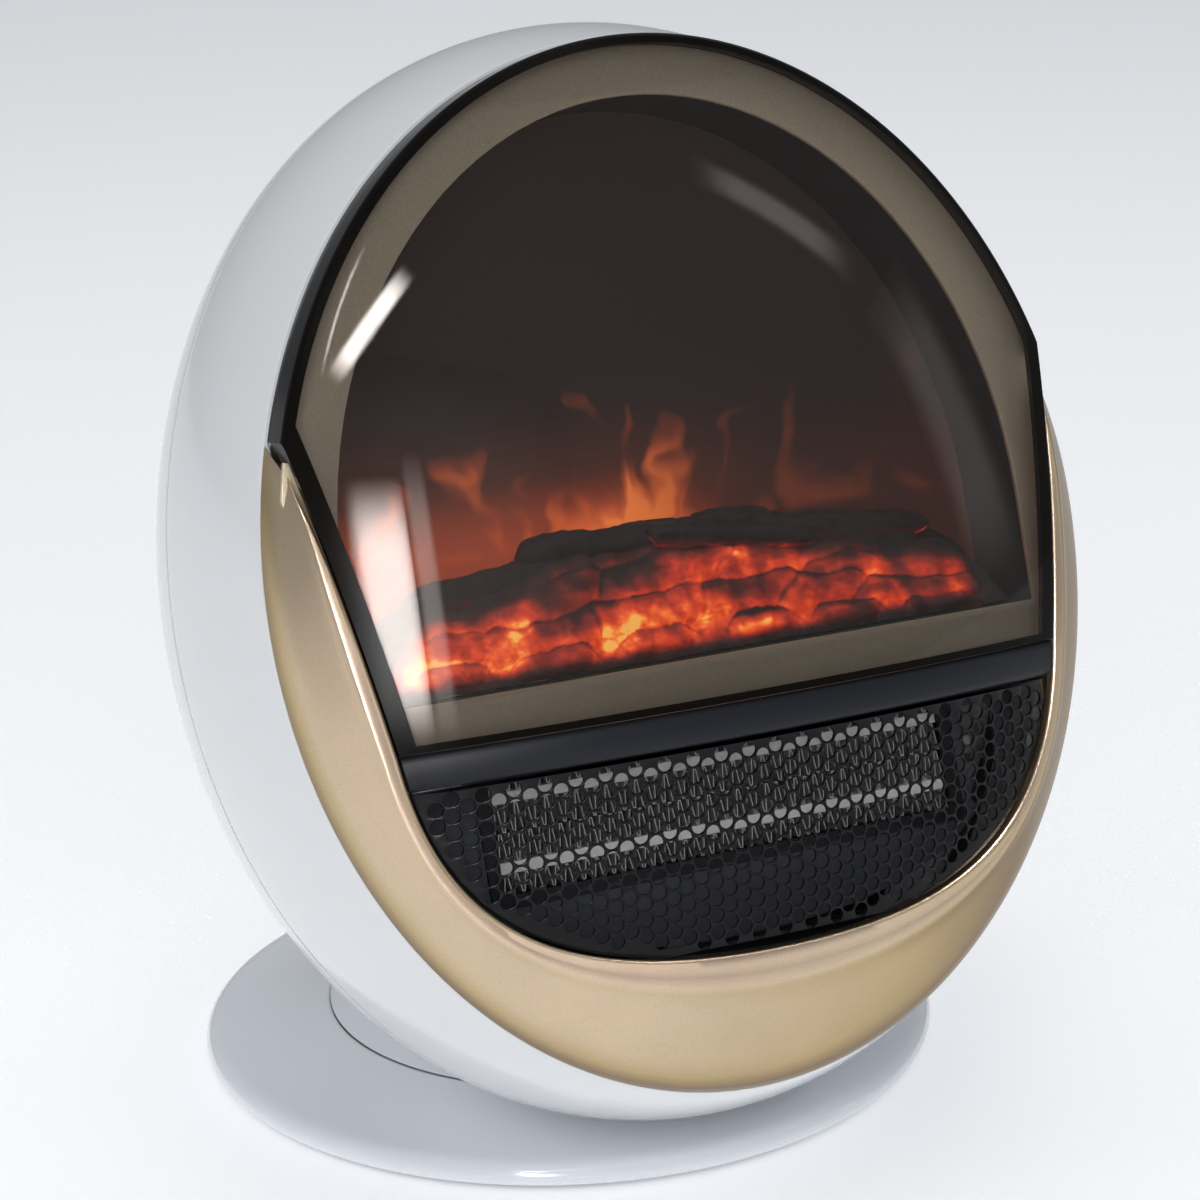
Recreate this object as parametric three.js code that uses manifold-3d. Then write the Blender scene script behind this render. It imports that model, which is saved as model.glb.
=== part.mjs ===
// A round fan heater with a flame effect: a ball-shaped body, flattened from side to side and
// tilted back, that swivels on a low round base. A smoked domed window shows a glowing log bed,
// and under it warm air leaves through a perforated grille inside a satin crescent.
// Millimetres, +Z up, the front faces -Y. The origin is the swivel axis at the base's underside.
import * as THREE from "three";
import { mergeGeometries, mergeVertices } from "three/addons/utils/BufferGeometryUtils.js";
import Module from "manifold-3d";

const wasm = await Module();
wasm.setup();

// Driving sizes: the ball. Its own axis runs from front to back, and radii are upright ones.
const ballRadius = 168.8; // largest half height, across the ball's axis
const widthShare = 0.822; // width of the ball over its height
const frontReach = 161; // half axis of the curve ahead of the widest place
const rearReach = 105; // half axis of the curve behind the widest place
const widestBehindSeam = 3; // the widest place lies this far behind the shells' joint
const mouthForward = 61; // the front shell ends this far ahead of the joint
const shellWall = 2.8; // moulded wall of both body shells
const headTiltDegrees = 18.3; // the body leans back
const headForward = 49; // centre of the shells' joint ahead of the swivel axis
const headUp = 171; // centre of the shells' joint above the base's underside
const floorCut = 15.5; // height at which the ball's underside is cut flat

// Driving sizes: the domed face that window, bar and grille share.
const faceForward = 74; // edge of the face ahead of the joint
const faceBulge = 38; // rise of the face in its middle
const faceRimInset = 1.5; // edge of the window inside the mouth
const tipBorder = 1.1; // width of the crescent at its tips
const throatTipUp = 50.3; // height of the tips above the ball's axis
const sideBorder = 19.7; // width of the crescent beside the divider bar
const barTopDown = 40; // top of the divider bar under the ball's axis
const barTall = 10; // height of the divider bar
const lowBorder = 43.4; // width of the crescent under the grille's opening
const cornerPullIn = 7.3; // first pull of the opening's round corner, inside its side
const cornerPullUp = 13.5; // the same pull above the opening's lowest edge
const cornerRunIn = 45.3; // second pull of the corner, inside the opening's side

// Driving sizes: the base.
const discRadius = 121.4; // outer edge of the base
const discCrease = 7; // height of the rounded edge
const creaseInset = 1.2; // from the outer edge to where it turns into the flare
const creaseRadius = discRadius - creaseInset;
const rimRadius = 81.2; // outer radius of the rim round the turntable
const rimTall = 13.3; // height of that rim
const swingDegrees = 30; // swivel to each side

// Clearances and surface steps.
const gap = 0.3; // between pieces that seat on each other
const seamGap = 0.4; // joint between the two body shells
const overrun = 5; // how far a cutter runs past what it cuts
const weldGap = 0.001; // vertices nearer than this are one
const roundSteps = 40; // facets round the large pieces
const turnSteps = 32; // facets round the turntable's pieces
const smallSteps = 16; // facets round the small pieces
const tinySteps = 8; // facets round pegs and holes
const arcSteps = 5; // facets along the ball's front arc
const rearSteps = 7; // facets along its rear arc
const edgeSteps = 16; // facets along the arches

const headTilt = THREE.MathUtils.degToRad(headTiltDegrees);
const halfTurn = Math.PI;
const quarterTurn = halfTurn / 2;
const fullTurn = halfTurn * 2;
const mouthRadius = ballRadiusAt(-mouthForward);
const faceRimRadius = mouthRadius - faceRimInset;
const throatTipWide = mouthHalfWideAt(throatTipUp) - tipBorder;
const throatBarWide = mouthHalfWideAt(barTopDown) - sideBorder;
const throatDrop = mouthRadius - lowBorder;
const throatSideWide = throatBarWide - cornerPullIn;
const throatSideDrop = throatDrop - cornerPullUp;
const throatCornerWide = throatBarWide - cornerRunIn;

// Half width of the mouth at a height above or below the ball's axis.
function mouthHalfWideAt(up) {
  return widthShare * Math.sqrt(mouthRadius ** 2 - up ** 2);
}

// The ball's upright radius at a place along its axis.
function ballRadiusAt(along) {
  const from = along - widestBehindSeam;
  const reach = from < 0 ? frontReach : rearReach;
  return ballRadius * Math.sqrt(Math.max(0, 1 - (from / reach) ** 2));
}

// The domed face's place along the ball's axis, over any point of the opening.
function faceAt(x, z) {
  const share = (x / (mouthRadius * widthShare)) ** 2 + (z / mouthRadius) ** 2;
  return -(faceForward + faceBulge * (1 - share));
}

// Turns a closed geometry into a solid whose faces point outwards.
function solidOf(geometry) {
  const bare = geometry.index ? geometry.toNonIndexed() : geometry.clone();
  const plain = new THREE.BufferGeometry().setAttribute("position", bare.getAttribute("position"));
  const merged = mergeVertices(plain, weldGap);
  const corners = merged.index.array;
  const kept = [];
  for (let i = 0; i < corners.length; i += 3) {
    const [a, b, c] = [corners[i], corners[i + 1], corners[i + 2]];
    if (a !== b && b !== c && c !== a) kept.push(a, b, c);
  }
  const points = merged.getAttribute("position").array;
  const build = (order) =>
    new wasm.Manifold(
      new wasm.Mesh({ numProp: 3, vertProperties: points, triVerts: new Uint32Array(order) }),
    );
  const made = build(kept);
  return made.volume() < 0 ? build(kept.toReversed()) : made;
}

// Turns a solid back into a geometry.
function geometryOf(solid) {
  const mesh = solid.getMesh();
  const geometry = new THREE.BufferGeometry();
  geometry.setAttribute("position", new THREE.BufferAttribute(mesh.vertProperties, mesh.numProp));
  geometry.setIndex(new THREE.BufferAttribute(mesh.triVerts, 1));
  return geometry;
}

// Moves a solid by a matrix.
function moved(solid, matrix) {
  return solidOf(geometryOf(solid).applyMatrix4(matrix));
}

function shifted(solid, x, y, z) {
  return moved(solid, new THREE.Matrix4().makeTranslation(x, y, z));
}

function joined(...solids) {
  return solids.reduce((sum, next) => sum.add(next));
}

// Revolves a closed profile of [radius, place] pairs round the upright axis.
function revolveUp(profile, steps) {
  const points = profile.map(([radius, place]) => new THREE.Vector2(radius, place));
  return solidOf(new THREE.LatheGeometry(points, steps).rotateX(quarterTurn));
}

// Revolves a closed profile round the ball's axis, narrowed as the ball is.
function revolveBall(profile, steps = roundSteps) {
  const points = profile.map(([radius, place]) => new THREE.Vector2(radius, place));
  return solidOf(new THREE.LatheGeometry(points, steps).scale(widthShare, 1, 1));
}

// Extrudes a shape upwards between two heights.
function prismUp(shape, low, high, steps = tinySteps) {
  const options = { depth: high - low, bevelEnabled: false, curveSegments: Math.ceil(steps / 2) };
  return solidOf(new THREE.ExtrudeGeometry(shape, options).translate(0, 0, low));
}

// Extrudes a shape drawn in x and z along the ball's axis.
function prismBack(shape, front, back, steps = tinySteps) {
  const options = { depth: back - front, bevelEnabled: false, curveSegments: Math.ceil(steps / 2) };
  return solidOf(new THREE.ExtrudeGeometry(shape, options).rotateX(quarterTurn).translate(0, back, 0));
}

// Extrudes a shape drawn in y and z sideways.
function prismAcross(shape, left, right, steps = tinySteps) {
  const options = { depth: right - left, bevelEnabled: false, curveSegments: Math.ceil(steps / 2) };
  const turn = new THREE.Matrix4().makeBasis(
    new THREE.Vector3(0, 1, 0),
    new THREE.Vector3(0, 0, 1),
    new THREE.Vector3(1, 0, 0),
  );
  return solidOf(new THREE.ExtrudeGeometry(shape, options).applyMatrix4(turn).translate(left, 0, 0));
}

function block(x0, x1, y0, y1, z0, z1) {
  const box = new THREE.BoxGeometry(x1 - x0, y1 - y0, z1 - z0);
  return solidOf(box.translate((x0 + x1) / 2, (y0 + y1) / 2, (z0 + z1) / 2));
}

function outline(points) {
  return new THREE.Shape(points.map(([u, v]) => new THREE.Vector2(u, v)));
}

function disc(radius, x = 0, y = 0) {
  return new THREE.Shape().absarc(x, y, radius, 0, fullTurn, false);
}

function rectangle(width, height, x = 0, y = 0) {
  const [w, h] = [width / 2, height / 2];
  return outline([
    [x - w, y - h],
    [x + w, y - h],
    [x + w, y + h],
    [x - w, y + h],
  ]);
}

// A rectangle with round corners.
function roundedRectangle(width, height, corner, x = 0, y = 0) {
  const [w, h] = [width / 2 - corner, height / 2 - corner];
  const shape = new THREE.Shape();
  shape.absarc(x + w, y + h, corner, 0, quarterTurn, false);
  shape.absarc(x - w, y + h, corner, quarterTurn, halfTurn, false);
  shape.absarc(x - w, y - h, corner, halfTurn, halfTurn + quarterTurn, false);
  shape.absarc(x + w, y - h, corner, halfTurn + quarterTurn, fullTurn, false);
  return shape;
}

// A slot with round ends that runs along the first axis.
function stadium(length, width, x = 0, y = 0) {
  return roundedRectangle(length, width, width / 2, x, y);
}

// A window arch: upright sides with a half ellipse on top.
function arch(halfWide, crownUp, springUp, sillDown) {
  const shape = new THREE.Shape();
  shape.moveTo(-halfWide, -sillDown);
  shape.lineTo(halfWide, -sillDown);
  shape.lineTo(halfWide, springUp);
  shape.absellipse(0, springUp, halfWide, crownUp - springUp, 0, halfTurn, false);
  return shape;
}

// One finish: colour, roughness and metalness.
function finish(colour, roughness, metalness = 0) {
  return new THREE.MeshStandardMaterial({ color: colour, roughness, metalness });
}

const finishes = {
  shell: finish(0xe9ebec, 0.22),
  base: finish(0xe3e8ef, 0.18),
  champagne: finish(0xc9b08a, 0.38, 0.7),
  smoked: finish(0x2b211c, 0.06),
  taupe: finish(0x6b5b4b, 0.5, 0.3),
  darkPlastic: finish(0x24252b, 0.55),
  glossBlack: finish(0x111216, 0.25),
  aluminium: finish(0xc5c6c4, 0.35, 1),
  steel: finish(0xb4b7ba, 0.35, 1),
  copper: finish(0xb06a3a, 0.4, 1),
  ember: finish(0xc03a12, 0.7),
  screen: finish(0x4a2216, 0.6),
  board: finish(0x1f5136, 0.5),
  nylon: finish(0xdedbd2, 0.5),
  rubber: finish(0x1b1b1c, 0.9),
  impeller: finish(0x2c2d30, 0.5),
  porcelain: finish(0xd8cfb8, 0.6),
};

// Makes the named mesh of one piece.
function piece(name, solid, material) {
  const geometry = geometryOf(solid);
  geometry.computeVertexNormals();
  const mesh = new THREE.Mesh(geometry, material);
  mesh.name = name;
  return mesh;
}

// Puts a mesh in its place.
function placed(mesh, x, y, z) {
  mesh.position.set(x, y, z);
  return mesh;
}

// Base values: the moulded disc.
const discWall = 2.2; // wall under the flare
const discEdgeLow = 2.4; // height of the widest part of the rounded edge
const discFootInset = 2.8; // the edge draws in this far at the bottom
const discSkirt = 4.2; // thickness of the edge's skirt
const flareBend = 2.6; // how late the flare turns up
const flareSteps = 3;
const deckTop = 9; // height of the deck inside the rim
const deckThick = 2;
const rimLip = 1.3; // thickness of the rim round the turntable

// Turntable and its bearing.
const spigotRadius = 9; // hollow pivot that passes through the deck
const spigotBore = 6;
const spigotDrop = 5.4; // height of the pivot's lower end
const turntableLow = 13.4; // underside of the turntable
const turntableRadius = rimRadius - rimLip - gap;
const turntableTop = floorCut - gap;
const glideWide = 6.5; // width of the bearing ring
const glideInset = 1.4; // from the turntable's edge to the ring
const clipWide = 3; // width of the clip ring that holds the pivot
const clipThick = 2;

// Oscillation crank.
const crankCentre = 30; // motor shaft behind the swivel axis
const crankThrow = crankCentre * Math.sin(THREE.MathUtils.degToRad(swingDegrees));
const crankHub = 5.5;
const crankThick = 3;
const crankStub = 3;
const crankLift = 0.5; // crank over the deck, and under the turntable
const pinRadius = 2.2;
const pinDrop = 4.5; // height of the pin's lower end
const slotRunning = 0.4; // running clearance of the pin in its slot

// The crank turns in a fixed ratio to the swivel, so its pin slips sideways a little against a
// straight slot: the slot is widened by what the pin then sweeps.
const crankRatio = (quarterTurn + THREE.MathUtils.degToRad(swingDegrees)) /
  THREE.MathUtils.degToRad(swingDegrees);
const slipSteps = 12;

// The outline that the pin sweeps to both sides as the body swings, with its running clearance.
function pinTrack() {
  const clear = pinRadius + slotRunning;
  const points = [];
  for (let i = -slipSteps; i <= slipSteps; i++) {
    const swing = (THREE.MathUtils.degToRad(swingDegrees) * i) / slipSteps;
    const turn = swing * crankRatio - swing;
    const side = crankThrow * Math.sin(turn) - crankCentre * Math.sin(swing);
    const ahead = crankThrow * Math.cos(turn) + crankCentre * Math.cos(swing);
    for (let k = 0; k < smallSteps; k++) {
      const angle = (fullTurn * k) / smallSteps;
      points.push([ahead + clear * Math.cos(angle), side + clear * Math.sin(angle)]);
    }
  }
  const outline = wasm.CrossSection.hull(points).simplify(weldGap).toPolygons()[0];
  return new THREE.Shape(outline.map(([x, y]) => new THREE.Vector2(x, y)));
}

// The flare's height over a radius of the disc.
function flareHeight(radius) {
  const share = (creaseRadius - radius) / (creaseRadius - rimRadius);
  return discCrease + (rimTall - discCrease) * share ** flareBend;
}

function baseDisc() {
  const flare = [];
  for (let i = 0; i <= flareSteps; i++) {
    const radius = creaseRadius + ((rimRadius - creaseRadius) * i) / flareSteps;
    flare.push([radius, flareHeight(radius)]);
  }
  const skirtRadius = discRadius - discSkirt;
  const under = flare.filter(([radius]) => radius < skirtRadius).map(([r, z]) => [r, z - discWall]);
  const shell = revolveUp(
    [
      [discRadius - discFootInset, 0],
      [discRadius, discEdgeLow],
      ...flare,
      [rimRadius - rimLip, rimTall],
      [rimRadius - rimLip, deckTop],
      [spigotRadius + slotRunning, deckTop],
      [spigotRadius + slotRunning, deckTop - deckThick],
      [rimRadius, deckTop - deckThick],
      ...under.toReversed().slice(1),
      [skirtRadius, flareHeight(skirtRadius) - discWall],
      [skirtRadius, 0],
      [discRadius - discFootInset, 0],
    ],
    roundSteps,
  );
  const near = crankCentre - crankThrow;
  const far = crankCentre + crankThrow;
  const slot = stadium(far - near + 2 * (pinRadius + slotRunning), 2 * (pinRadius + slotRunning));
  const low = deckTop - deckThick - overrun;
  const high = deckTop + overrun;
  const turned = new THREE.Matrix4().makeRotationZ(quarterTurn);
  const cut = moved(shifted(prismUp(slot, low, high), crankCentre, 0, 0), turned);
  const wideCut = moved(prismUp(pinTrack(), low, high), turned);
  return shell.subtract(cut).subtract(wideCut);
}

// Base plate, feet and tip-over switch.
const plateThick = 2;
const footCount = 5;
const footInset = 16.4; // middle of a foot inside the base's outer edge
const footRing = discRadius - footInset;
const footRadius = 8;
const footBevel = 0.6;
const footDrop = 2; // the feet stand out under the base
const footPeg = 2.5;
const footPegUp = 1.7;
const plungerForward = 58; // tip-over plunger ahead of the swivel axis
const plungerRadius = 3;
const plungerBevel = 0.6;
const plungerLow = 1.95; // the pressed plunger's tip under the base
const plungerCollar = 4.5;
const collarLow = 4.9;
const collarThick = 1;
const plungerFit = 0.4;
const switchLong = 14;
const switchWide = 10;
const leverThick = 0.4;
const leverOver = 3; // the lever reaches this far past the plunger's axis

function footPlaces() {
  return Array.from({ length: footCount }, (_, i) => {
    const turn = quarterTurn + (fullTurn * i) / footCount;
    return [footRing * Math.cos(turn), footRing * Math.sin(turn)];
  });
}

function basePlate() {
  const shape = disc(discRadius - discSkirt - gap);
  const plate = prismUp(shape, 0, plateThick, roundSteps);
  const holes = footPlaces().map(([x, y]) => disc(footPeg + gap, x, y));
  holes.push(disc(plungerRadius + plungerFit, 0, -plungerForward));
  return plate.subtract(prismUp(holes, -overrun, plateThick + overrun));
}

function foot() {
  return revolveUp(
    [
      [0, -footDrop],
      [footRadius - footBevel, -footDrop],
      [footRadius, footBevel - footDrop],
      [footRadius, -gap],
      [footPeg, -gap],
      [footPeg, footPegUp],
      [0, footPegUp],
    ],
    tinySteps,
  );
}

function tipPlunger() {
  return revolveUp(
    [
      [0, -plungerLow],
      [plungerRadius - plungerBevel, -plungerLow],
      [plungerRadius, plungerBevel - plungerLow],
      [plungerRadius, collarLow],
      [plungerCollar, collarLow],
      [plungerCollar, collarLow + collarThick],
      [0, collarLow + collarThick],
    ],
    tinySteps,
  );
}

function tipSwitch() {
  const low = plateThick + gap;
  const leverLow = collarLow + collarThick + gap;
  const near = -plungerForward + plungerCollar + gap * 2;
  return prismAcross(
    outline([
      [near, low],
      [near + switchLong, low],
      [near + switchLong, leverLow + leverThick],
      [-plungerForward - leverOver, leverLow + leverThick],
      [-plungerForward - leverOver, leverLow],
      [near, leverLow],
    ]),
    -switchWide / 2,
    switchWide / 2,
  );
}

function glideRing() {
  const outer = turntableRadius - glideInset;
  const inner = outer - glideWide;
  const [low, high] = [deckTop + gap, turntableLow - gap];
  return revolveUp(
    [
      [inner, low],
      [outer, low],
      [outer, high],
      [inner, high],
      [inner, low],
    ],
    turnSteps,
  );
}

function clipRing() {
  const inner = spigotRadius + gap;
  const high = deckTop - deckThick - slotRunning;
  return revolveUp(
    [
      [inner, high - clipThick],
      [inner + clipWide, high - clipThick],
      [inner + clipWide, high],
      [inner, high],
      [inner, high - clipThick],
    ],
    smallSteps,
  );
}

// Swivel neck: the turntable with the flared fairing under the ball.
const neckLap = 81.8; // the fairing's curve runs this far above the ball's lowest point
const neckTop = headUp - ballRadius + neckLap;
const neckTopRadius = 38;
const neckWall = 2.5;
const neckBend = 2.2;
const neckSteps = 4;
const glandTurn = 0.66; // angle of the cord gland from straight behind
const glandUp = 25; // height of the gland's axis
const glandRadius = 7.5;
const glandBore = 3.7;
const glandLong = 14;
const glandBevel = 1.5;
const glandInside = 5; // length of the gland inside the fairing

function neckRadiusAt(height) {
  const share = (height - turntableLow) / (neckTop - turntableLow);
  return neckTopRadius + (turntableRadius - neckTopRadius) * (1 - share) ** neckBend;
}

// The whole ball's outer form, grown by a clearance and cut flat below.
function ballSolid(grow, cutHeight, cutWorld = true) {
  const profile = [[0, -mouthForward - faceBulge - faceForward]];
  profile.push([mouthRadius + grow, -mouthForward - faceBulge - faceForward]);
  profile.push(...ballArc(-mouthForward, grow));
  const ball = revolveBall(profile);
  const limit = 4 * ballRadius;
  const space = block(-limit, limit, -limit, limit, cutHeight, cutHeight + limit);
  return cutWorld ? ball.intersect(moved(space, worldToHead())) : ball;
}

// Points of the ball's outline from a place ahead of the joint to the rear pole.
function ballArc(from, grow, to = null) {
  const points = [];
  const first = Math.asin((from - widestBehindSeam) / (from < widestBehindSeam ? frontReach : rearReach));
  if (first < 0) {
    const end = to === null ? 0 : Math.asin((to - widestBehindSeam) / frontReach);
    for (let i = 0; i <= arcSteps; i++) {
      const turn = first + ((end - first) * i) / arcSteps;
      points.push([ballRadius * Math.cos(turn) + grow, widestBehindSeam + frontReach * Math.sin(turn)]);
    }
  }
  if (to !== null) return points;
  const start = Math.max(first, 0);
  for (let i = first < 0 ? 1 : 0; i <= rearSteps; i++) {
    const turn = start + ((quarterTurn - start) * i) / rearSteps;
    const last = i === rearSteps;
    const radius = last ? 0 : ballRadius * Math.cos(turn) + grow * Math.cos(turn);
    points.push([radius, widestBehindSeam + (rearReach + grow) * Math.sin(turn)]);
  }
  return points;
}

function headToWorld() {
  const matrix = new THREE.Matrix4().makeRotationX(-headTilt);
  return matrix.setPosition(0, -headForward, headUp);
}

function worldToHead() {
  return headToWorld().invert();
}

function swivelNeck() {
  const outer = [];
  const inner = [];
  for (let i = 0; i <= neckSteps; i++) {
    const height = turntableLow + ((neckTop - turntableLow) * i) / neckSteps;
    outer.push([neckRadiusAt(height), height]);
    if (height > turntableTop) inner.push([neckRadiusAt(height) - neckWall, height]);
  }
  const shell = revolveUp(
    [
      [spigotBore, spigotDrop],
      [spigotRadius, spigotDrop],
      [spigotRadius, turntableLow],
      ...outer,
      ...inner.toReversed(),
      [neckRadiusAt(turntableTop) - neckWall, turntableTop],
      [spigotBore, turntableTop],
      [spigotBore, spigotDrop],
    ],
    turnSteps,
  );
  const ball = moved(ballSolid(gap, floorCut - gap / 2), headToWorld());
  const shaft = prismUp(disc(crankStub + slotRunning, 0, crankCentre), turntableLow - overrun,
    turntableTop + overrun);
  const hole = moved(
    prismBack(disc(glandRadius + gap), -glandLong, glandLong, smallSteps),
    glandPlace(),
  );
  return shell.subtract(ball).subtract(shaft).subtract(hole);
}

// The cord gland's place in the fairing's wall, its own axis pointing outwards.
function glandPlace() {
  const radius = neckRadiusAt(glandUp);
  const matrix = new THREE.Matrix4().makeRotationZ(-glandTurn);
  return matrix.setPosition(radius * Math.sin(glandTurn), radius * Math.cos(glandTurn), glandUp);
}

function cordGland() {
  const [inside, outside] = [-glandInside, glandLong - glandInside];
  const sleeve = new THREE.LatheGeometry(
    [
      new THREE.Vector2(glandBore, inside),
      new THREE.Vector2(glandRadius, inside),
      new THREE.Vector2(glandRadius, outside - glandBevel),
      new THREE.Vector2(glandRadius - glandBevel, outside),
      new THREE.Vector2(glandBore, outside),
      new THREE.Vector2(glandBore, inside),
    ],
    smallSteps,
  );
  return solidOf(sleeve);
}

// Oscillation motor: a flat synchronous can with two ears.
const canRadius = 19;
const canTall = 12.5;
const canBevel = 1;
const earLong = 52; // length over both ears
const earWide = 7;
const earThick = 1.2;
const earHole = 1.7;
const earHoleIn = 3.5; // hole's centre from the ear's end

function flatMotor() {
  const can = revolveUp(
    [
      [0, 0],
      [canRadius, 0],
      [canRadius, canTall - canBevel],
      [canRadius - canBevel, canTall],
      [0, canTall],
    ],
    smallSteps,
  );
  const reach = earLong / 2 - earHoleIn;
  const ears = prismUp(stadium(earLong, earWide), 0, earThick);
  const holes = prismUp([disc(earHole, -reach), disc(earHole, reach)], -overrun, earThick + overrun, tinySteps);
  return joined(can, ears).subtract(holes);
}

function crank() {
  const low = deckTop + crankLift;
  const high = low + crankThick;
  const arm = roundedRectangle(2 * crankHub, crankThrow + 2 * crankHub, crankHub, 0, crankThrow / 2);
  return joined(
    prismUp(arm, low, high),
    prismUp(disc(crankStub), high - crankThick / 2, turntableTop),
    prismUp(disc(pinRadius, 0, crankThrow), pinDrop, high - crankThick / 2),
  );
}

// Front shell: from the joint to the mouth, with a ledge that carries the face's pieces.
const ledgeWide = 11; // width of the ledge inside the mouth
const ledgeThick = 2.8;

// The space above the flat underside, as the shells' walls need it.
function aboveFloor(lift) {
  const limit = 4 * ballRadius;
  const space = block(-limit, limit, -limit, limit, floorCut + lift, floorCut + lift + limit);
  return moved(space, worldToHead());
}

function frontShell() {
  const seam = -seamGap / 2;
  const outer = ballArc(-mouthForward, 0, seam);
  const whole = revolveBall([
    [0, -mouthForward],
    ...outer,
    [0, seam],
  ]).intersect(aboveFloor(0));
  const back = -mouthForward + ledgeThick;
  const room = revolveBall([
    [0, back],
    [ballRadiusAt(back) - shellWall, back],
    ...ballArc(back, -shellWall, seam).slice(1),
    [ballRadiusAt(seam) - shellWall, overrun],
    [0, overrun],
  ]).intersect(aboveFloor(shellWall));
  const mouth = revolveBall([
    [0, -mouthForward - overrun],
    [mouthRadius - ledgeWide, -mouthForward - overrun],
    [mouthRadius - ledgeWide, overrun],
    [0, overrun],
  ]).intersect(aboveFloor(shellWall));
  return whole.subtract(room).subtract(mouth);
}

// Rear shell: the dome with air slots and the control panel's opening.
const slotRows = 5;
const slotPitch = 18; // from row to row
const slotTall = 6;
const slotTopDown = 2; // first row under the ball's axis
const slotRib = 9; // rib between the two slots of a row
const slotFieldWide = 74; // half width of the field of slots
const slotFieldMiddle = 44; // middle of the field under the ball's axis
const slotFieldTall = 62; // half height of the oval that bounds the field
const slotDepth = 45; // the slots' cutters start this far behind the joint
const wireHole = 14; // hole over the pivot for the wires

// Control panel values, shared by the panel, its opening and its parts.
const panelWide = 92;
const panelTall = 44;
const panelCorner = 8;
const panelUp = 78; // middle of the panel above the ball's axis
const panelFloor = 76; // the pocket's floor behind the joint
const panelThick = 3.5;
const panelBorder = 4;

function intakeSlots() {
  const shapes = [];
  for (let row = 0; row < slotRows; row++) {
    const down = slotTopDown + row * slotPitch;
    const share = (down - slotFieldMiddle) / slotFieldTall;
    const half = slotFieldWide * Math.sqrt(1 - share ** 2);
    const long = half - slotRib / 2;
    const middle = slotRib / 2 + long / 2;
    shapes.push(rectangle(long, slotTall, middle, -down), rectangle(long, slotTall, -middle, -down));
  }
  return shapes;
}

function rearShell() {
  const seam = seamGap / 2;
  const pole = widestBehindSeam + rearReach;
  const outer = revolveBall([[0, seam], [ballRadiusAt(seam), seam], ...ballArc(widestBehindSeam, 0)]);
  const inner = revolveBall([
    [0, -overrun],
    [ballRadius - shellWall, -overrun],
    ...ballArc(widestBehindSeam, -shellWall),
  ]);
  const shell = outer.intersect(aboveFloor(0)).subtract(inner.intersect(aboveFloor(shellWall)));
  const slots = prismBack(intakeSlots(), slotDepth, pole + overrun);
  const opening = prismBack(
    roundedRectangle(panelWide + 2 * gap, panelTall + 2 * gap, panelCorner, 0, panelUp),
    slotDepth,
    pole + overrun,
    3,
  );
  const wires = moved(prismUp(disc(wireHole), floorCut + shellWall * 2, neckTop), worldToHead());
  return shell.subtract(slots).subtract(opening).subtract(wires);
}

// The opening inside the crescent, drawn in x and z and drawn in by an inset.
function throat(inset, top = ballRadius * 2) {
  const rise = (throatTipWide - throatBarWide) / (throatTipUp + barTopDown);
  const wideAt = (up) => throatBarWide - inset + rise * (up + barTopDown);
  const shape = new THREE.Shape();
  shape.moveTo(-wideAt(top), top);
  shape.lineTo(inset - throatBarWide, -barTopDown);
  shape.bezierCurveTo(
    inset - throatSideWide, inset - throatSideDrop,
    inset - throatCornerWide, inset - throatDrop,
    0, inset - throatDrop,
  );
  shape.bezierCurveTo(
    throatCornerWide - inset, inset - throatDrop,
    throatSideWide - inset, inset - throatSideDrop,
    throatBarWide - inset, -barTopDown,
  );
  shape.lineTo(wideAt(top), top);
  return shape;
}

// The part of the throat between two heights, as a prism.
function throatPrism(inset, low, high, steps = edgeSteps) {
  const limit = 2 * ballRadius;
  const whole = prismBack(throat(inset), -limit, limit, steps);
  return whole.intersect(block(-limit, limit, -limit, limit, low, high));
}

// A slab that follows the domed face over a rectangle, set back by a recess.
function faceSlab(halfWide, low, high, columns, rows, recess, thick) {
  const at = (i, j, back) => {
    const x = -halfWide + (2 * halfWide * i) / columns;
    const z = low + ((high - low) * j) / rows;
    return [x, faceAt(x, z) + recess + back, z];
  };
  const corners = [];
  const quad = (a, b, c, d) => corners.push(...a, ...b, ...c, ...a, ...c, ...d);
  for (let i = 0; i < columns; i++) {
    for (let j = 0; j < rows; j++) {
      quad(at(i, j, 0), at(i + 1, j, 0), at(i + 1, j + 1, 0), at(i, j + 1, 0));
      quad(at(i, j, thick), at(i, j + 1, thick), at(i + 1, j + 1, thick), at(i + 1, j, thick));
    }
    quad(at(i, 0, 0), at(i, 0, thick), at(i + 1, 0, thick), at(i + 1, 0, 0));
    quad(at(i, rows, 0), at(i + 1, rows, 0), at(i + 1, rows, thick), at(i, rows, thick));
  }
  for (let j = 0; j < rows; j++) {
    quad(at(0, j, 0), at(0, j + 1, 0), at(0, j + 1, thick), at(0, j, thick));
    quad(at(columns, j, 0), at(columns, j, thick), at(columns, j + 1, thick), at(columns, j + 1, 0));
  }
  const geometry = new THREE.BufferGeometry();
  geometry.setAttribute("position", new THREE.Float32BufferAttribute(corners, 3));
  return solidOf(geometry);
}

// Crescent: a moulded band between the mouth and the throat.
const bandWall = 2.6;
const bandLip = 5.4; // depth of the lip behind the inner edge
const bandColumns = 26; // sections along the band
const bandFrontShares = [[0, 0], [0.28, 0.46], [0.56, 0.77], [0.8, 0.95], [1, 1]];
const bandSeatShare = 0.2; // width of the band's seat on the ledge over its whole width

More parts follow.
